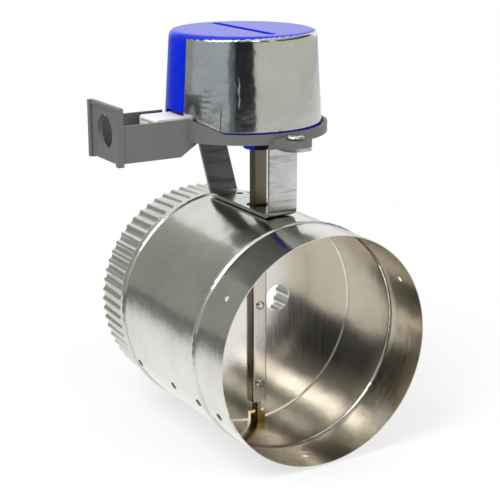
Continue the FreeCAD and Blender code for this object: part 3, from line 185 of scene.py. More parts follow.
# A Mix node has sockets for each kind of data, and these are the colour ones
MIX_SHARE, MIX_FIRST, MIX_SECOND, MIX_RESULT = 0, 6, 7, 2


def blend_colours(tree, share, first, second, blend_type="MIX"):
    """The colour between two others, at a share. All three may be linked."""
    sockets = {MIX_SHARE: share}
    for number, colour in ((MIX_FIRST, first), (MIX_SECOND, second)):
        linked = isinstance(colour, bpy.types.NodeSocket)
        sockets[number] = colour if linked else (*colour, 1.0)
    made = add(tree, "ShaderNodeMix", sockets, data_type="RGBA", blend_type=blend_type)
    return made.outputs[MIX_RESULT]


def spread(tree, value, low, high, start=0.0, stop=1.0, **settings):
    """A value stretched from start and stop to low and high, and held there outside."""
    return add(tree, "ShaderNodeMapRange",
               {"Value": value, "From Min": start, "From Max": stop,
                "To Min": low, "To Max": high}, **settings).outputs[0]


# %% [markdown]
# ## Shared surface effects
# Rolled sheet shows fine streaks along the rolling direction and broad soft
# clouds where the mill's rolls pressed unevenly. Moulded plastic has a fine
# grain instead. Each effect is one group, placed in every material that needs
# it, so that one change reaches all of them.


# %% Effect groups
FLECK_SCALE, FLECK_PEAK = 420.0, (0.66, 0.74)
DUST_SCALE, DUST_PEAK = 700.0, (0.68, 0.76)


def rolled_sheet_group():
    """Streaks: noise squeezed along one axis. Clouds: broad noise. Flecks: its rare peaks."""
    tree, start, end = group_tree(
        "rolled_sheet",
        {"Vector": (0.0, 0.0, 0.0), "Streak scale": (40.0, 900.0, 900.0), "Cloud scale": 18.0},
        ("Streak", "Cloud", "Fleck"),
    )
    squeezed = add(tree, "ShaderNodeVectorMath",
                   {0: start.outputs["Vector"], 1: start.outputs["Streak scale"]},
                   operation="MULTIPLY")
    streak = add(tree, "ShaderNodeTexNoise",
                 {"Vector": squeezed.outputs[0], "Scale": 1.0, "Detail": 3.0, "Roughness": 0.65})
    cloud = add(tree, "ShaderNodeTexNoise",
                {"Vector": start.outputs["Vector"], "Scale": start.outputs["Cloud scale"],
                 "Detail": 3.0, "Roughness": 0.5})
    fleck = add(tree, "ShaderNodeTexNoise",
                {"Vector": start.outputs["Vector"], "Scale": FLECK_SCALE, "Detail": 2.0})
    rare = spread(tree, fleck.outputs[0], 0.0, 1.0, *FLECK_PEAK)
    tree.links.new(streak.outputs[0], end.inputs["Streak"])
    tree.links.new(cloud.outputs[0], end.inputs["Cloud"])
    tree.links.new(rare, end.inputs["Fleck"])
    return tree


def moulded_grain_group():
    """Grain: fine noise of the tool's texture. Tone: slow change of shade. Dust: pale specks."""
    tree, start, end = group_tree(
        "moulded_grain",
        {"Vector": (0.0, 0.0, 0.0), "Grain scale": 1400.0, "Tone scale": 30.0},
        ("Grain", "Tone", "Dust"),
    )
    grain = add(tree, "ShaderNodeTexNoise",
                {"Vector": start.outputs["Vector"], "Scale": start.outputs["Grain scale"],
                 "Detail": 2.0})
    tone = add(tree, "ShaderNodeTexNoise",
               {"Vector": start.outputs["Vector"], "Scale": start.outputs["Tone scale"],
                "Detail": 4.0})
    dust = add(tree, "ShaderNodeTexNoise",
               {"Vector": start.outputs["Vector"], "Scale": DUST_SCALE, "Detail": 1.0})
    specks = spread(tree, dust.outputs[0], 0.0, 1.0, *DUST_PEAK)
    tree.links.new(grain.outputs[0], end.inputs["Grain"])
    tree.links.new(tone.outputs[0], end.inputs["Tone"])
    tree.links.new(specks, end.inputs["Dust"])
    return tree


ROLLED = rolled_sheet_group()
GRAIN = moulded_grain_group()
print("effect groups:", ROLLED.name, GRAIN.name)


# %% [markdown]
# ## Metals
# All metals share one recipe. The clouds shift the colour, the streaks change
# the roughness, and both press a very shallow relief into the normal, so that
# a reflection bends and blurs as it does on real sheet.


# %% Metal materials
MATTE = 0.12
RUBBED_BELOW, RUBBED_FULLY = 0.48, 0.34
RUBBED_SHADE, FLECK_SHADE = 0.35, 0.5
FINE_DEPTH, BROAD_DEPTH = 0.4 * MM, 4.0 * MM
INSIDE_RADIUS = 76.5 * MM
CRIMP_AT = 140.5 * MM
SHAFT_DARKENS = (60.0 * MM, 80.0 * MM)
# Normals at which a shaft face counts as a side face and takes painted shade
SHADED_SIDE_FACING = (0.6, 0.8)
CLOUD_RANGE = (-0.4, 1.4)
PATCH_SCALE, PATCH_RANGE = 14.0, (0.3, 1.0)


def metal(name, bright, dull, rough, streaks, cloud_scale=18.0, relief=0.05, dents=0.0,
          tint=None, tinted=None, wear=0.0, matte=None, flecks=0.25):
    """Metal: colour from bright to dull, roughness over rough = (low, high).

    tint multiplies the colour where tinted(tree, place) gives a mask of 1. wear
    darkens the lowest streaks, as rubbed zinc does. matte(tree, place) gives a
    mask that adds MATTE to the roughness, and flecks is the strength of the specks."""
    material, tree, shader, place = start_material(name, Metallic=1.0)
    sheet = add(tree, "ShaderNodeGroup", node_tree=ROLLED, sockets={
        "Vector": place, "Streak scale": streaks, "Cloud scale": cloud_scale})
    share = spread(tree, sheet.outputs["Cloud"], *CLOUD_RANGE)
    colour = blend_colours(tree, share, bright, dull)
    if wear:
        rubbed = spread(tree, sheet.outputs["Streak"], 0.0, wear, RUBBED_BELOW, RUBBED_FULLY)
        colour = blend_colours(tree, rubbed, colour, tuple(RUBBED_SHADE * c for c in dull))
    if tint:
        colour = blend_colours(tree, tinted(tree, place), colour, tint, blend_type="MULTIPLY")
    marked = compute(tree, "MULTIPLY", sheet.outputs["Fleck"], flecks)
    colour = blend_colours(tree, marked, colour, tuple(FLECK_SHADE * c for c in dull))
    tree.links.new(colour, shader.inputs["Base Color"])
    roughness = spread(tree, sheet.outputs["Streak"], *rough)
    if matte:
        roughness = compute(tree, "MULTIPLY_ADD", matte(tree, place), MATTE, roughness)
    tree.links.new(roughness, shader.inputs["Roughness"])
    fine = add(tree, "ShaderNodeBump",
               {"Height": sheet.outputs["Streak"], "Strength": relief, "Distance": FINE_DEPTH})
    broad = add(tree, "ShaderNodeBump",
                {"Height": sheet.outputs["Cloud"], "Strength": dents, "Distance": BROAD_DEPTH,
                 "Normal": fine.outputs[0]})
    tree.links.new(broad.outputs[0], shader.inputs["Normal"])
    return material


def inside_duct(tree, place):
    """Mask of the duct's inner face: 1 nearer the axis than the sheet's middle, 0 in the crimp."""
    flat = add(tree, "ShaderNodeVectorMath", {0: place, 1: (1.0, 0.0, 1.0)}, operation="MULTIPLY")
    reach = add(tree, "ShaderNodeVectorMath", {0: flat.outputs[0]}, operation="LENGTH")
    near = compute(tree, "LESS_THAN", reach.outputs["Value"], INSIDE_RADIUS)
    plain = compute(tree, "LESS_THAN", coordinate(tree, place, 1), CRIMP_AT)
    return compute(tree, "MULTIPLY", near, plain)


def in_crimp(tree, place):
    """Mask of the crimped end: 1 past the start of the flutes."""
    return compute(tree, "GREATER_THAN", coordinate(tree, place, 1), CRIMP_AT)


def shaft_top_and_side_shade(tree, place):
    """Mask of the shaft's darker end above the duct, and of its two side faces, where it paints
    shade.
    """
    above = spread(tree, coordinate(tree, place, 2), 0.0, 1.0, *SHAFT_DARKENS)
    facing = coordinate(tree, add(tree, "ShaderNodeTexCoord").outputs["Normal"], 0)
    side = spread(tree, compute(tree, "ABSOLUTE", facing), 0.0, 1.0, *SHADED_SIDE_FACING)
    return compute(tree, "MAXIMUM", above, side)


def everywhere(tree, place):
    """A mask of broad patches over the whole piece."""
    patches = add(tree, "ShaderNodeTexNoise",
                  {"Vector": place, "Scale": PATCH_SCALE, "Detail": 2.0})
    return spread(tree, patches.outputs[0], *PATCH_RANGE)


ALONG_X, ALONG_Z, AROUND_Y = (40.0, 900.0, 900.0), (900.0, 900.0, 40.0), (30.0, 900.0, 30.0)
duct_steel = metal("duct_steel", (0.74, 0.73, 0.69), (0.60, 0.59, 0.55), (0.10, 0.26), AROUND_Y,
                   cloud_scale=26.0, relief=0.02, dents=0.16, tint=(0.96, 0.90, 0.82),
                   tinted=inside_duct, matte=in_crimp)
blade_steel = metal("blade_steel", (0.84, 0.82, 0.79), (0.72, 0.70, 0.67), (0.12, 0.28), ALONG_Z,
                    relief=0.012, dents=0.08, tint=(1.0, 0.97, 0.91), tinted=everywhere)
# The shaft's tint darkens its end above the duct and paints shade on its two side faces
shaft_steel = metal("shaft_steel", (0.70, 0.66, 0.60), (0.58, 0.54, 0.48), (0.18, 0.34), ALONG_Z,
                    relief=0.03, dents=0.03, tint=(0.26, 0.24, 0.20), tinted=shaft_top_and_side_shade)
strip_zinc = metal("strip_zinc", (0.68, 0.70, 0.67), (0.50, 0.52, 0.50), (0.12, 0.30),
                   (30.0, 260.0, 260.0), cloud_scale=60.0, relief=0.05, dents=0.05, wear=0.55)
motor_steel = metal("motor_steel", (0.58, 0.58, 0.58), (0.44, 0.44, 0.44), (0.28, 0.45), ALONG_Z)
dark_rivet = metal("dark_rivet", (0.16, 0.15, 0.14), (0.07, 0.07, 0.07), (0.30, 0.50), ALONG_X)
bright_plate = metal("bright_plate", (0.70, 0.70, 0.72), (0.60, 0.60, 0.62), (0.10, 0.12), ALONG_X,
                     relief=0.0, flecks=0.0)
turned_brass = metal("turned_brass", (0.84, 0.55, 0.13), (0.66, 0.41, 0.08), (0.14, 0.28), ALONG_X)
label_foil = metal("label_foil", (0.76, 0.77, 0.74), (0.68, 0.69, 0.67), (0.08, 0.18), ALONG_Z,
                   cloud_scale=45.0, relief=0.02, dents=0.10)


# %% [markdown]
# ## Plastics and boards
# The base is a mid grey moulding with a dull grain. The cover is deep blue,
# dull on its skirt and glossier on its crown, and the hub is the same blue
# with one near-black side. The parts inside are plain nylon, phenolic and
# painted board. The grain drives a shallow relief and the tone shifts the
# colour between two shades.


# %% Plastic materials
GRAIN_DEPTH = 0.2 * MM
TONE_RANGE = (-0.3, 1.3)
DUST_COLOUR, NEAR_BLACK_COLOUR = (0.8, 0.8, 0.8), (0.012, 0.012, 0.014)
CROWN_GLOSS, CROWN_GLOSS_RISE = 0.55, (188.0 * MM, 193.0 * MM)
HUB_PLANE, HUB_PLANE_AT = (0.857, -0.515, 0.0), -45.9 * MM


def plastic(name, colour, shade, rough, grain_scale=1400.0, relief=0.06, dust=0.04,
            near_black_side=None, **plain):
    """Plastic: colour to shade by the tone, roughness over rough, pale specks of dust.

    A mask function, if given, marks the part coloured near-black."""
    material, tree, shader, place = start_material(name, **plain)
    grain = add(tree, "ShaderNodeGroup", node_tree=GRAIN, sockets={
        "Vector": place, "Grain scale": grain_scale})
    share = spread(tree, grain.outputs["Tone"], *TONE_RANGE)
    body = blend_colours(tree, share, colour, shade)
    pale = compute(tree, "MULTIPLY", grain.outputs["Dust"], dust)
    body = blend_colours(tree, pale, body, DUST_COLOUR)
    if near_black_side:
        body = blend_colours(tree, near_black_side(tree, place), body, NEAR_BLACK_COLOUR)
    tree.links.new(body, shader.inputs["Base Color"])
    tree.links.new(spread(tree, grain.outputs["Grain"], *rough), shader.inputs["Roughness"])
    bump = add(tree, "ShaderNodeBump",
               {"Height": grain.outputs["Grain"], "Strength": relief, "Distance": GRAIN_DEPTH})
    tree.links.new(bump.outputs[0], shader.inputs["Normal"])
    return material


grey_moulding = plastic("grey_moulding", (0.140, 0.141, 0.137), (0.112, 0.113, 0.110),
                        (0.34, 0.50), Specular_IOR_Level=0.3)
blue_moulding = plastic("blue_moulding", (0.0, 0.019, 0.58), (0.0, 0.014, 0.50), (0.22, 0.34),
                        relief=0.02, dust=0.0, Specular_IOR_Level=0.05, Coat_Roughness=0.30)
blue_tree = blue_moulding.node_tree
drum_height = coordinate(blue_tree, add(blue_tree, "ShaderNodeTexCoord").outputs["Object"], 2)
blue_tree.links.new(spread(blue_tree, drum_height, 0.0, CROWN_GLOSS, *CROWN_GLOSS_RISE),
                    blue_tree.nodes["Principled BSDF"].inputs["Coat Weight"])


def hub_near_black_side(tree, place):
    """Mask of the hub's near-black side, right of a plane upright through the hub."""
    aside = add(tree, "ShaderNodeVectorMath", {0: place, 1: HUB_PLANE},
                operation="DOT_PRODUCT").outputs["Value"]
    return compute(tree, "GREATER_THAN", aside, HUB_PLANE_AT)


hub_moulding = plastic("hub_moulding", (0.0, 0.019, 0.58), (0.0, 0.014, 0.50), (0.22, 0.34),
                       relief=0.02, dust=0.0, near_black_side=hub_near_black_side, Specular_IOR_Level=0.1)
white_nylon = plastic("white_nylon", (0.84, 0.84, 0.82), (0.76, 0.76, 0.74), (0.35, 0.5))
black_phenolic = plastic("black_phenolic", (0.02, 0.02, 0.022), (0.035, 0.035, 0.035),
                         (0.35, 0.55))
board_mask = plastic("board_mask", (0.03, 0.16, 0.06), (0.02, 0.11, 0.04), (0.25, 0.4))
tan_lacquer = plastic("tan_lacquer", (0.62, 0.46, 0.26), (0.5, 0.36, 0.2), (0.3, 0.45))
print("materials:", len(bpy.data.materials))

# %% [markdown]
# ## Carried-over pieces
# Where a CAD node already has the right shape it stays and only takes a new
# finish. Its object isn't touched otherwise.

# %% Finishes of the CAD nodes
FINISHES = {
    "seam_rivets": dark_rivet,
    "upper_bushing": turned_brass,
    "pivot_pin": shaft_steel,
    "blade_rivets": shaft_steel,
    "motor_screws": bright_plate,
    "plate_screws": bright_plate,
    "switch_screws": bright_plate,
    "board_screws": bright_plate,
    "connector_pins": turned_brass,
    "pinion_shaft": motor_steel,
    "motor_pinion": turned_brass,
    "output_gear": white_nylon,
    "resistors": tan_lacquer,
}
for node_name, finish in FINISHES.items():
    held = frame["nodes"][node_name].data.materials
    held.clear()
    held.append(finish)
print("carried over:", len(FINISHES), "nodes")


# %% [markdown]
# ## Edges that catch the light
# No moulded or bent edge is sharp. A CAD mesh is loose triangles, so a copy
# of it is welded, its flat areas become whole faces again, and a narrow bevel
# rounds each edge. Weighted normals keep the flats flat.


# %% Finished copies
WELD_REACH, FLAT_WITHIN = 2e-6, 0.6


def new_object(name, mesh, material, body, slot, *nodes):
    """A piece with its material that rides on a body and stands for CAD nodes."""
    mesh.materials.clear()
    mesh.materials.append(material)
    piece = bpy.data.objects.new(name, mesh)
    bpy.context.scene.collection.objects.link(piece)
    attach(piece, body)
    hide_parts(*nodes)
    return piece


def round_edges(piece, width, angle=32.0):
    """A two-step bevel on edges sharper than an angle, and normals weighted by area."""
    bevel = piece.modifiers.new("edge_rounding", "BEVEL")
    bevel.width, bevel.segments = width, 2
    bevel.limit_method, bevel.angle_limit = "ANGLE", math.radians(angle)
    bevel.miter_outer = "MITER_ARC"
    weighted = piece.modifiers.new("face_weights", "WEIGHTED_NORMAL")
    weighted.keep_sharp = False
    return piece


def welded_copy(node_name):
    """A new mesh of a CAD node: doubles merged and triangles of one plane joined."""
    welded = bmesh.new()
    welded.from_mesh(frame["nodes"][node_name].data)
    bmesh.ops.remove_doubles(welded, verts=welded.verts, dist=WELD_REACH)
    bmesh.ops.dissolve_limit(welded, angle_limit=math.radians(FLAT_WITHIN),
                             verts=welded.verts, edges=welded.edges)
    corners = [tuple(v.co) for v in welded.verts]
    welded.verts.index_update()
    faces = [[v.index for v in face.verts] for face in welded.faces]
    welded.free()
    mesh = bpy.data.meshes.new(node_name + "_finished")
    mesh.from_pydata(corners, [], faces)
    mesh.polygons.foreach_set("use_smooth", [True] * len(faces))
    return mesh


def finished_copy(name, node_name, material, slot, width):
    """A welded copy of one node with rounded edges."""
    body = frame["nodes"][node_name]["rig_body"]
    piece = new_object(name, welded_copy(node_name), material, body, slot, node_name)
    return round_edges(piece, width)


COPIES = (
    ("moulded_base", "actuator_base", grey_moulding, "grey_plastic", 0.45),
    ("bent_bracket", "actuator_bracket", strip_zinc, "galvanised", 0.30),
    ("folded_shaft", "blade_shaft", shaft_steel, "stainless", 0.12),
    ("blade_plate", "damper_blade", blade_steel, "stainless", 0.12),
    ("hexagon_bushing", "lower_bushing", turned_brass, "brass", 0.25),
    ("hub_coupler", "drive_coupler", hub_moulding, "blue_plastic", 0.40),
    ("harness_housing", "harness_connector", white_nylon, "white_plastic", 0.35),
    ("motor_case", "gear_motor", motor_steel, "motor_steel", 0.50),
    ("motor_deck", "motor_plate", strip_zinc, "galvanised", 0.20),
    ("snap_switch_closed", "closed_switch", black_phenolic, "black_plastic", 0.15),
    ("snap_switch_open", "open_switch", black_phenolic, "black_plastic", 0.15),
    ("printed_board", "circuit_board", board_mask, "board", 0.10),
    ("relay_case", "relay", black_phenolic, "black_plastic", 0.30),
    ("capacitor_can", "capacitor", black_phenolic, "black_plastic", 0.40),
    ("cam_disc", "switch_cam", white_nylon, "white_plastic", 0.15),
)
for piece_name, node_name, finish, slot_name, width in COPIES:
    made = finished_copy(piece_name, node_name, finish, slot_name, width * MM)
    print(piece_name, len(made.data.polygons), "faces")


# %% [markdown]
# ## The duct
# A mirror-like cylinder shows every facet, so the duct is worked out afresh as
# one fine grid of angle against length. Its radius is a formula: the plain
# sheet, a low arch over each bead and a wave for the crimp. Rolling it from a
# flat strip with a modifier would work too, but a formula keeps the crimp's
# folds exact. The sheet then gets its thickness inwards.


# %% Grid helpers
def grid_faces(rows, columns, closed):
    """Corner numbers of the quads of a grid whose points run row by row."""
    number = np.arange(rows * columns).reshape(rows, columns)
    if closed:
        number = np.hstack([number, number[:, :1]])
    quads = np.stack([number[:-1, :-1], number[:-1, 1:], number[1:, 1:], number[1:, :-1]], axis=-1)
    return quads.reshape(-1, 4)


def mesh_of(name, points, faces, smooth=True):
    """A mesh from an array of points and an array of faces, unused points left out."""
    used = np.unique(faces)
    renumber = np.full(len(points), -1)
    renumber[used] = np.arange(len(used))
    mesh = bpy.data.meshes.new(name)
    mesh.from_pydata(points[used].tolist(), [], renumber[faces].tolist())
    mesh.polygons.foreach_set("use_smooth", [smooth] * len(faces))
    mesh.validate()
    return mesh


# %% Duct sizes
SHEET = 0.6 * MM
BORE = 76.2 * MM
OUTSIDE = BORE + SHEET
DUCT_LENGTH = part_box("vent_pipe")[1].y
BEADS = (35.5 * MM, 136.0 * MM)
BEAD_HALF, BEAD_HEIGHT = 2.5 * MM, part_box("vent_pipe")[1].x - OUTSIDE
BEAD_DENTS, BEAD_DENT_DEPTH = (41, 67, 89, 113), 0.22
CRIMP_FROM, CRIMP_LEAD, CRIMP_DEPTH = CRIMP_AT, 4.0 * MM, 1.5 * MM
CRIMP_CREST, CRIMP_RIM = 76.38 * MM, 74.9 * MM
FLUTES, STEPS_PER_FLUTE = 66, 8
CREST_NARROWING, CREST_FLATTENING = 0.2, 3
DEPTH_AT_START = 0.8
COLLAR_HOLE_AT, COLLAR_HOLE, COLLAR_ANGLES = 16.0 * MM, 2.0 * MM, (26.3, 146.3, 266.3)
SHAFT_AT, UPPER_HOLE, LOWER_HOLE = 84.0 * MM, 7.2 * MM, 3.9 * MM
BROKEN_EDGE, CUT_EDGE_ANGLE = 0.15, 62.0
chance = np.random.default_rng(11)
FLUTE_DEPTHS = 1 + 0.10 * chance.standard_normal(FLUTES)


# %% Duct surface
def smooth_step(share):
    """0 below 0, 1 above 1, and 3t^2 - 2t^3 between."""
    share = np.clip(share, 0, 1)
    return share * share * (3 - 2 * share)


def duct_radius(turn, along):
    """Outside radius at an angle and a place along the duct.

    Each bead adds height * (1 - t^2) across its width, and its height wavers by
    a sum of sines, since a rolled bead is never even. In the crimp the crest
    line sinks straight to the rim, and the valleys lie a flattened cosine,
    tanh(3 (cos(flutes * angle) - narrowing)), below it."""
    radius = np.full(np.broadcast(turn, along).shape, OUTSIDE)
    dents = sum(np.sin(count * turn + count * count) for count in BEAD_DENTS) / len(BEAD_DENTS)
    for at in BEADS:
        own_height = BEAD_HEIGHT * (1 - BEAD_DENT_DEPTH * (0.5 + 0.5 * dents))
        radius = radius + own_height * np.clip(1 - ((along - at) / BEAD_HALF) ** 2, 0, None)
    into = (along - CRIMP_FROM) / CRIMP_LEAD
    fluted_from = CRIMP_FROM + CRIMP_LEAD
    down = np.clip((along - fluted_from) / (DUCT_LENGTH - fluted_from), 0, 1)
    crest = smooth_step(into) * (CRIMP_CREST - OUTSIDE) + down * (CRIMP_RIM - CRIMP_CREST)
    fold = np.tanh(CREST_FLATTENING * (np.cos(FLUTES * turn) - CREST_NARROWING))
    valley = 0.5 - 0.5 * fold / math.tanh(CREST_FLATTENING)
    own = FLUTE_DEPTHS[np.round(FLUTES * turn / (2 * np.pi) - 0.5).astype(int) % FLUTES]
    deepening = DEPTH_AT_START + (1 - DEPTH_AT_START) * down
    return radius + crest - CRIMP_DEPTH * own * valley * smooth_step(into) * deepening


def duct_rows():
    """Places along the duct: close together over beads, holes and crimp."""
    spans = (
        (0, 13.5, 3), (13.5, 18.5, 8), (18.5, 33, 3), (33, 38, 10), (38, 76.5, 3), (76.5, 91.5, 19),
        (91.5, 133.5, 3), (133.5, 138.5, 10), (138.5, 140.5, 2), (140.5, 144.5, 5), (144.5, 174, 5),
    )
    places = [np.linspace(low, high, count, endpoint=False) for low, high, count in spans]
    return np.append(np.concatenate(places), DUCT_LENGTH / MM) * MM


def open_hole(turn, along, faces, angle, at, radius):
    """Slides grid points out of a round hole to its rim and drops the quads inside it."""
    across = (turn - math.radians(angle) + np.pi) % (2 * np.pi) - np.pi
    u, v = across * OUTSIDE, along - at
    reach = np.hypot(u, v)
    inside = reach < radius
    keep = ~inside[faces].all(axis=1)
    scale = np.where(inside, radius / np.maximum(reach, 1e-9), 1.0)
    return (math.radians(angle) + u * scale / OUTSIDE, at + v * scale, faces[keep])


turns = np.linspace(0, 2 * np.pi, FLUTES * STEPS_PER_FLUTE, endpoint=False)
rows = duct_rows()
along, turn = (part.ravel() for part in np.meshgrid(rows, turns, indexing="ij"))
duct_faces = grid_faces(len(rows), len(turns), closed=True)[:, ::-1]
holes = [(angle, COLLAR_HOLE_AT, COLLAR_HOLE) for angle in COLLAR_ANGLES]
holes += [(90.0, SHAFT_AT, UPPER_HOLE), (-90.0, SHAFT_AT, LOWER_HOLE)]
for hole in holes:
    turn, along, duct_faces = open_hole(turn, along, duct_faces, *hole)


def around_duct(turn, along, radius):
    """Points at an angle from +X towards +Z, a place along Y and a radius."""
    return np.stack([radius * np.cos(turn), along, radius * np.sin(turn)], axis=-1)


duct_points = around_duct(turn, along, duct_radius(turn, along))
duct_mesh = mesh_of("duct_sheet", duct_points, duct_faces)
duct = new_object("duct_sheet", duct_mesh, duct_steel, "housing", "stainless", "vent_pipe")


def give_thickness(piece, thickness):
    """Thickness on the side away from the normals, with the cut edge just broken."""
    solid = piece.modifiers.new("sheet_thickness", "SOLIDIFY")
    solid.thickness, solid.offset, solid.use_even_offset = thickness, -1, False
    edge = piece.modifiers.new("broken_edge", "BEVEL")
    edge.width, edge.segments = BROKEN_EDGE * thickness, 1
    edge.limit_method, edge.angle_limit = "ANGLE", math.radians(CUT_EDGE_ANGLE)
    piece.modifiers.new("face_weights", "WEIGHTED_NORMAL")
    return piece


give_thickness(duct, SHEET)
first = duct_mesh.polygons[0]
print("duct", len(duct_faces), "quads; first normal", tuple(round(v, 2) for v in first.normal),
      "at", tuple(round(v / MM, 1) for v in first.center))

# %% [markdown]
# ## The lapped seam
# The duct's strip is joined by lapping its ends and riveting them. The outer
# ply climbs gently by one sheet thickness and ends in a cut edge below the
# rivets. It follows the same radius formula over a narrow band of angles.

# %% Seam lap
SEAM_ANGLE = math.radians(-153.2)
LAP_WIDTH = 14.0 * MM
LAP_SHARE_BELOW = 0.4
LAP_LIFT, LAP_CLIMB_SHARE = 0.02, 0.6
lap_turns = SEAM_ANGLE + LAP_WIDTH / OUTSIDE * np.linspace(LAP_SHARE_BELOW - 1, LAP_SHARE_BELOW, 13)
lap_rows = rows[rows <= CRIMP_FROM + 1e-6]
lap_along, lap_turn = (part.ravel() for part in np.meshgrid(lap_rows, lap_turns, indexing="ij"))
lap_share = (lap_turn - lap_turns[0]) / (lap_turns[-1] - lap_turns[0])
lap_climb = SHEET * (LAP_LIFT + (1 - LAP_LIFT) * smooth_step(lap_share / LAP_CLIMB_SHARE))
lap_points = around_duct(lap_turn, lap_along, duct_radius(lap_turn, lap_along) + lap_climb)
lap_faces = grid_faces(len(lap_rows), len(lap_turns), closed=False)[:, ::-1]
lap_mesh = mesh_of("seam_lap", lap_points, lap_faces)
lap = new_object("seam_lap", lap_mesh, duct_steel, "housing", "stainless", "vent_pipe")
give_thickness(lap, SHEET)

# %% [markdown]
# ## The cover and its foil band
# The cover keeps the CAD shape with softened edges. The foil band around it
# is a bare silvered strip. Real foil is never smooth, so the strip is a fine
# patch of a cone whose surface is pushed in by a few shallow waves, one long
# crease, a short slit and a crumple near its left end. The pushes are at most
# 0.2 mm, far too small to change its size.

# %% Cover
finished_copy("drum_cover", "actuator_cover", blue_moulding, "blue_plastic", 0.35 * MM)

# %% Foil band
label_low, label_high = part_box("foil_label")
LABEL_AT = Vector((0.0, 104.0, 0.0)) * MM
LABEL_THICKNESS = 0.25 * MM
LABEL_START, LABEL_SWEEP = math.radians(-167.5), math.radians(200.0)
LABEL_BOTTOM, LABEL_TOP = label_low.z, label_high.z
LABEL_FOOT_RADIUS = LABEL_AT.y - label_low.y
CROWN_EDGE = 4.0 * MM
CROWN_FROM = 190.0 * MM
# The drum's radius falls from 52.5 to 48.8 mm over 58.5 mm of height
LABEL_SLOPE = (52.5 - 48.8) / 58.5
LABEL_OVER, LABEL_OVER_LEFT, SCALLOP = 5.4 * MM, 2.9 * MM, 0.35 * MM
WAVE, CREASE, CRUMPLE = 0.05 * MM, 0.15 * MM, 0.15 * MM
CREASE_AT, CREASE_HALF, CREASE_LEAN = 0.219, 0.0032, 0.0016
CREASE_LOW, CREASE_HIGH, CREASE_FADE = 147.0 * MM, 171.0 * MM, 6.0 * MM
SLIT_AT, SLIT_HALF = 0.158, 0.0020
SLIT_HIGH, SLIT_FADE = 149.0 * MM, 4.0 * MM
CRUMPLE_AT, CRUMPLE_HALF = 0.095, 0.022
CRUMPLE_HEIGHT, CRUMPLE_HALF_HEIGHT = 151.0 * MM, 6.0 * MM
LEVEL_FROM = 0.45
FINE_FROM, FINE_TO = 0.150, 0.230


def foil_push(share, height):
    """How far the foil is pushed in, by its share of the sweep and its height in metres.

    Three slow waves cross the strip. A crease is a narrow bell along a line
    that leans a little. The crumple is a patch of short waves under a bell."""
    waves = np.sin(34 * share + 3 * height / LABEL_TOP) + np.sin(57 * share - 90 * height)
    waves = waves + np.sin(21 * share + 150 * height)
    lean = share - CREASE_AT - CREASE_LEAN * np.sin(700 * height)
    crease = (np.exp(-(lean / CREASE_HALF) ** 2)
              * smooth_step((height - CREASE_LOW) / CREASE_FADE)
              * smooth_step((CREASE_HIGH - height) / CREASE_FADE))
    slit = (np.exp(-((share - SLIT_AT) / SLIT_HALF) ** 2)
            * smooth_step((SLIT_HIGH - height) / SLIT_FADE))
    patch = np.exp(-((share - CRUMPLE_AT) / CRUMPLE_HALF) ** 2
                   - ((height - CRUMPLE_HEIGHT) / CRUMPLE_HALF_HEIGHT) ** 2)
    crumple = patch * np.sin(300 * share + 500 * height) * np.sin(900 * height)
    return (WAVE * (1 + waves / 3) / 2 + CREASE * np.maximum(crease, slit)
            + CRUMPLE * np.abs(crumple))


def foil_top(share):
    """How far the strip's upper edge reaches past its straight top, along the surface.

    It rises from the left corner to a level run, with small scallops."""
    level = LABEL_OVER_LEFT + (LABEL_OVER - LABEL_OVER_LEFT) * smooth_step(share / LEVEL_FROM)
    return level + SCALLOP * np.sin(230 * share + 2 * np.sin(37 * share))


def foil_place(share, run):
    """Radius and height of the foil at a share of its sweep and a run up its surface.

    Up to the crown it is the drum's cone. From there the run bends round the
    crown's edge: angle = run / edge radius."""
    straight = np.minimum(run, CROWN_FROM - LABEL_BOTTOM)
    bend = np.maximum(run - straight, 0) / CROWN_EDGE
    radius = LABEL_FOOT_RADIUS - LABEL_SLOPE * straight - CROWN_EDGE * (1 - np.cos(bend))
    height = LABEL_BOTTOM + straight
    return radius - foil_push(share, height), height + CROWN_EDGE * np.sin(bend)


label_turns = np.sort(np.append(np.linspace(0, 1, 361), np.linspace(FINE_FROM, FINE_TO, 140)))
label_steps = np.linspace(0, 1, 66)
step, share = (part.ravel() for part in np.meshgrid(label_steps, label_turns, indexing="ij"))
label_radius, height = foil_place(share, step * (LABEL_TOP - LABEL_BOTTOM + foil_top(share)))
label_turn = LABEL_START + LABEL_SWEEP * share
label_points = np.stack([LABEL_AT.x + label_radius * np.cos(label_turn),
                         LABEL_AT.y + label_radius * np.sin(label_turn), height], axis=-1)
label_faces = grid_faces(len(label_steps), len(label_turns), closed=False)
label_mesh = mesh_of("foil_band", label_points, label_faces)
print("foil top", round(height.max() / MM, 1))
foil = new_object("foil_band", label_mesh, label_foil, "cover", "foil", "foil_label")
give_thickness(foil, LABEL_THICKNESS - WAVE - CREASE)

# %% [markdown]
# ## Screws and rivets
# Round heads show their profile in the highlight, so they are turned from a
# profile: a point list that is swept round an axis.


# %% Turned pieces
DOME_EDGE, DOME_PIT = 0.18, 0.02


def turned(profile, centre, axis, start, steps=48):
    """Points and faces of a profile of (radius, height) pairs swept round an axis at a centre."""
    axis = Vector(axis).normalized()
    side = axis.orthogonal().normalized()
    other = axis.cross(side)
    radius, height = (np.array(part) for part in zip(*profile))
    angle = np.linspace(0, 2 * np.pi, steps, endpoint=False)
    ring = np.outer(np.cos(angle), side) + np.outer(np.sin(angle), other)
    points = radius[:, None, None] * ring + height[:, None, None] * np.array(axis)
    points = np.array(centre) + points
    return points.reshape(-1, 3), grid_faces(len(profile), steps, closed=True) + start


def dome(radius, height, base, steps=7):
    """Profile of a domed head: a small upright edge, then a quarter ellipse to the middle."""
    edge = DOME_EDGE * height
    angles = np.linspace(0, np.pi / 2, steps)
    arch = [(radius * math.cos(a), base + edge + (height - edge) * math.sin(a)) for a in angles]
    arch[-1] = (DOME_PIT * radius, base + height)
    return [(radius, base), *arch]


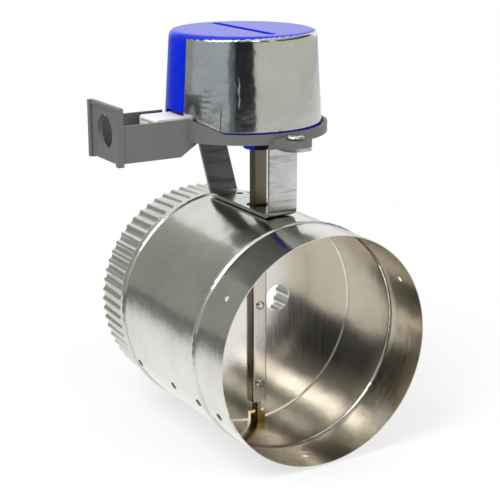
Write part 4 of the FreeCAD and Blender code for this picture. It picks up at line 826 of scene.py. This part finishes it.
def turned_pieces(name, node_name, material, slot, profiles, axis):
    """One object of several turned pieces; profiles pairs a centre with its profile."""
    points, faces, count = [], [], 0
    for centre, profile in profiles:
        own_points, own_faces = turned(profile, centre, axis, count)
        points.append(own_points)
        faces.append(own_faces)
        count += len(own_points)
    mesh = mesh_of(name, np.concatenate(points), np.concatenate(faces))
    return new_object(name, mesh, material, frame["nodes"][node_name]["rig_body"], slot, node_name)


screws_low, screws_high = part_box("base_screws")
SCREW_HEAD = screws_high.x
SCREW_HEAD_BASE = 131.5 * MM
SCREW_TIP, SCREW_SHANK = 0.02 * MM, 2.2 * MM
screw_profile = [(SCREW_TIP, screws_low.z), (SCREW_SHANK, screws_low.z),
                 (SCREW_SHANK, SCREW_HEAD_BASE)]
screw_profile += dome(SCREW_HEAD, screws_high.z - SCREW_HEAD_BASE, SCREW_HEAD_BASE)
screw_places = [(0.0, screws_low.y + SCREW_HEAD, 0.0), (0.0, screws_high.y - SCREW_HEAD, 0.0)]
turned_pieces("base_screw_heads", "base_screws", bright_plate, "bright_screw",
              [(place, screw_profile) for place in screw_places], (0, 0, 1))
print("screws at", [tuple(round(v / MM, 1) for v in place) for place in screw_places])

# %% [markdown]
# ## Studio
# The photograph has a plain white surround with a faint shadow, while the
# steel reflects a darker room. So camera rays see white, and the reflections
# come from cards that only mirror-like rays meet: a ring of grey walls, open
# behind the object, a dark panel behind the camera, and two softboxes.
# Two soft lamps give the light, and the fill lamp isn't seen in reflections.


# %% Studio parts
def stage_object(name, mesh, material):
    """An object of the studio, kept out of the part."""
    mesh.materials.append(material)
    made = bpy.data.objects.new(name, mesh)
    bpy.context.scene.collection.objects.link(made)
    return made


def glow_material(name, colour, low, high, rises_from, rises_to):
    """A card that gives off light, from low to high between two heights in metres."""
    material, tree = empty_material(name)
    height = coordinate(tree, add(tree, "ShaderNodeTexCoord").outputs["Object"], 2)
    level = spread(tree, height, low, high, rises_from, rises_to,
                   interpolation_type="SMOOTHSTEP")
    glow = add(tree, "ShaderNodeEmission", {"Color": (*colour, 1.0), "Strength": level})
    add(tree, "ShaderNodeOutputMaterial", {"Surface": glow.outputs[0]})
    return material


def wall_card(name, distance, azimuths, elevations, material, steps=48):
    """A curved card round the object, over a range of azimuths from -Y and of elevations.

    Point: (sin a * d, -cos a * d, d * tan e)."""
    angle = np.radians(np.linspace(*azimuths, steps))
    rise = np.tan(np.radians(np.array(elevations)))
    points = [np.stack([distance * np.sin(angle), -distance * np.cos(angle),
                        np.full(steps, distance * level)], axis=-1) for level in rise]
    mesh = mesh_of(name, np.concatenate(points), grid_faces(2, steps, closed=False))
    card = stage_object(name, mesh, material)
    card.visible_camera = card.visible_diffuse = card.visible_shadow = False
    card.visible_transmission = False
    return card


FLOOR_AT = cad_low.z
ROOM = 4.0
PAPER_COLOUR = (0.9, 0.9, 0.9, 1.0)
SHADOW_FADES, SHADOW_KEPT = (0.35, 0.9), 0.55
SHADE_LIMIT, SHADE_SLANT = -0.35, -0.5
SHADE_EDGE, SHADE_LEVEL = (-0.40, -0.16), 0.24
MIRRORED_FADES, MIRRORED_LEVEL = (0.2, 2.6), (1.05, 0.5)


def floor_material():
    """White for the camera apart from the shadow, and fading to grey in reflections.

    In reflections the left side is darker, past an edge that slants to the front."""
    material, tree = empty_material("paper_floor")
    paper = add(tree, "ShaderNodeBsdfDiffuse", {"Color": PAPER_COLOUR})
    white = add(tree, "ShaderNodeEmission", {"Color": (1.0, 1.0, 1.0, 1.0), "Strength": 1.0})
    rays = add(tree, "ShaderNodeLightPath")
    place = add(tree, "ShaderNodeTexCoord").outputs["Object"]
    reach = add(tree, "ShaderNodeVectorMath", {0: place}, operation="LENGTH").outputs["Value"]
    share = spread(tree, reach, SHADOW_KEPT, 1.0, *SHADOW_FADES)
    seen = add(tree, "ShaderNodeMixShader", {0: share, 1: paper.outputs[0], 2: white.outputs[0]})
    ahead = compute(tree, "MINIMUM", coordinate(tree, place, 1), 0.0)
    ahead = compute(tree, "MAXIMUM", ahead, SHADE_LIMIT)
    across = compute(tree, "MULTIPLY_ADD", ahead, SHADE_SLANT, coordinate(tree, place, 0))
    side = spread(tree, across, SHADE_LEVEL, 1.0, *SHADE_EDGE, interpolation_type="SMOOTHSTEP")
    level = compute(tree, "MULTIPLY", spread(tree, reach, *MIRRORED_LEVEL, *MIRRORED_FADES), side)
    mirrored = add(tree, "ShaderNodeEmission", {"Strength": level})
    kind = add(tree, "ShaderNodeMixShader", {0: rays.outputs["Is Glossy Ray"], 1: paper.outputs[0],
                                             2: mirrored.outputs[0]})
    final = add(tree, "ShaderNodeMixShader", {0: rays.outputs["Is Camera Ray"], 1: kind.outputs[0],
                                              2: seen.outputs[0]})
    add(tree, "ShaderNodeOutputMaterial", {"Surface": final.outputs[0]})
    return material


floor_corners = ROOM * np.array([(-1, -1, 0), (1, -1, 0), (1, 1, 0), (-1, 1, 0)], float)
floor_mesh = mesh_of("paper_floor", floor_corners, np.array([[0, 1, 2, 3]]), smooth=False)
floor = stage_object("paper_floor", floor_mesh, floor_material())
floor.location.z = FLOOR_AT

# %% Cards
# Name, azimuths, elevations, colour, and the light below and above the rise
WALLS = (
    ("left_wall", (-176, -112), (-1.4, 56), (0.88, 0.92, 0.82), 0.37, 0.95),
    ("left_near_wall", (-112, -52), (-1.4, 15), (0.86, 0.95, 1.00), 0.48, 0.48),
    ("left_upper_wall", (-112, -52), (15, 50), (0.90, 0.94, 0.90), 0.55, 0.95),
    ("panel_edge", (-52, -44), (-1.4, 26), (0.80, 0.90, 1.00), 0.16, 0.16),
    ("camera_side_panel", (-44, -13), (-1.4, 26), (0.80, 0.90, 1.00), 0.02, 0.02),
    ("above_panel", (-52, -4), (26, 62), (0.90, 0.93, 0.90), 0.15, 0.40),
    ("right_edge", (-13, -4), (19, 26), (0.84, 0.90, 0.82), 0.05, 0.05),
    ("right_near_wall", (-13, 112), (-1.4, 19), (1.00, 0.97, 0.86), 0.60, 0.60),
    ("right_upper_wall", (-4, 112), (19, 62), (0.84, 0.90, 0.82), 0.06, 0.60),
)
SOFTBOXES = (
    ("softbox", (-16, -1), (33, 45), (1.00, 0.99, 0.97), 3.4, 3.4),
    ("side_softbox", (12, 24), (25, 36), (1.00, 0.99, 0.97), 1.3, 1.3),
)
WALL_DISTANCE, SOFTBOX_DISTANCE, WALL_RISES_FROM, WALL_RISES_TO = 3.0, 2.8, 1.4, 3.6
for distance, cards in ((WALL_DISTANCE, WALLS), (SOFTBOX_DISTANCE, SOFTBOXES)):
    for name, azimuths, elevations, colour, low, high in cards:
        wall_card(name, distance, azimuths, elevations,
                  glow_material(name, colour, low, high, WALL_RISES_FROM, WALL_RISES_TO))

# %% World
WORLD_LIGHT = 0.75
world = bpy.data.worlds.new("white_surround")
bpy.context.scene.world = world
world.use_nodes = True
world_tree = world.node_tree
world_tree.nodes.clear()
rays = add(world_tree, "ShaderNodeLightPath")
direct = compute(world_tree, "MAXIMUM", rays.outputs["Is Camera Ray"],
                 rays.outputs["Is Glossy Ray"])
direct = compute(world_tree, "MAXIMUM", direct, rays.outputs["Is Transmission Ray"])
surround = spread(world_tree, direct, WORLD_LIGHT, 1.0)
sky = add(world_tree, "ShaderNodeBackground", {"Color": (1.0, 1.0, 1.0, 1.0), "Strength": surround})
add(world_tree, "ShaderNodeOutputWorld", {"Surface": sky.outputs[0]})


# %% Lamps
LIT_MIDDLE = Vector((0.0, 85.0, 60.0)) * MM


def soft_lamp(name, azimuth, elevation, distance, size, watts):
    """A square area lamp on a sphere round the object, facing its middle."""
    data = bpy.data.lights.new(name, "AREA")
    data.energy, data.shape, data.size = watts, "SQUARE", size
    towards = level_direction(math.radians(azimuth), math.radians(elevation))
    lamp = bpy.data.objects.new(name, data)
    lamp.location = LIT_MIDDLE + towards * distance
    lamp.rotation_mode = "QUATERNION"
    lamp.rotation_quaternion = towards.to_track_quat("Z", "Y")
    bpy.context.scene.collection.objects.link(lamp)
    return lamp


soft_lamp("key_lamp", -75, 52, 1.6, 0.9, 16.0)
fill_lamp = soft_lamp("fill_lamp", 30, 30, 1.8, 0.8, 8.5)
fill_lamp.visible_glossy = False
bpy.context.scene.view_settings.view_transform = "Standard"
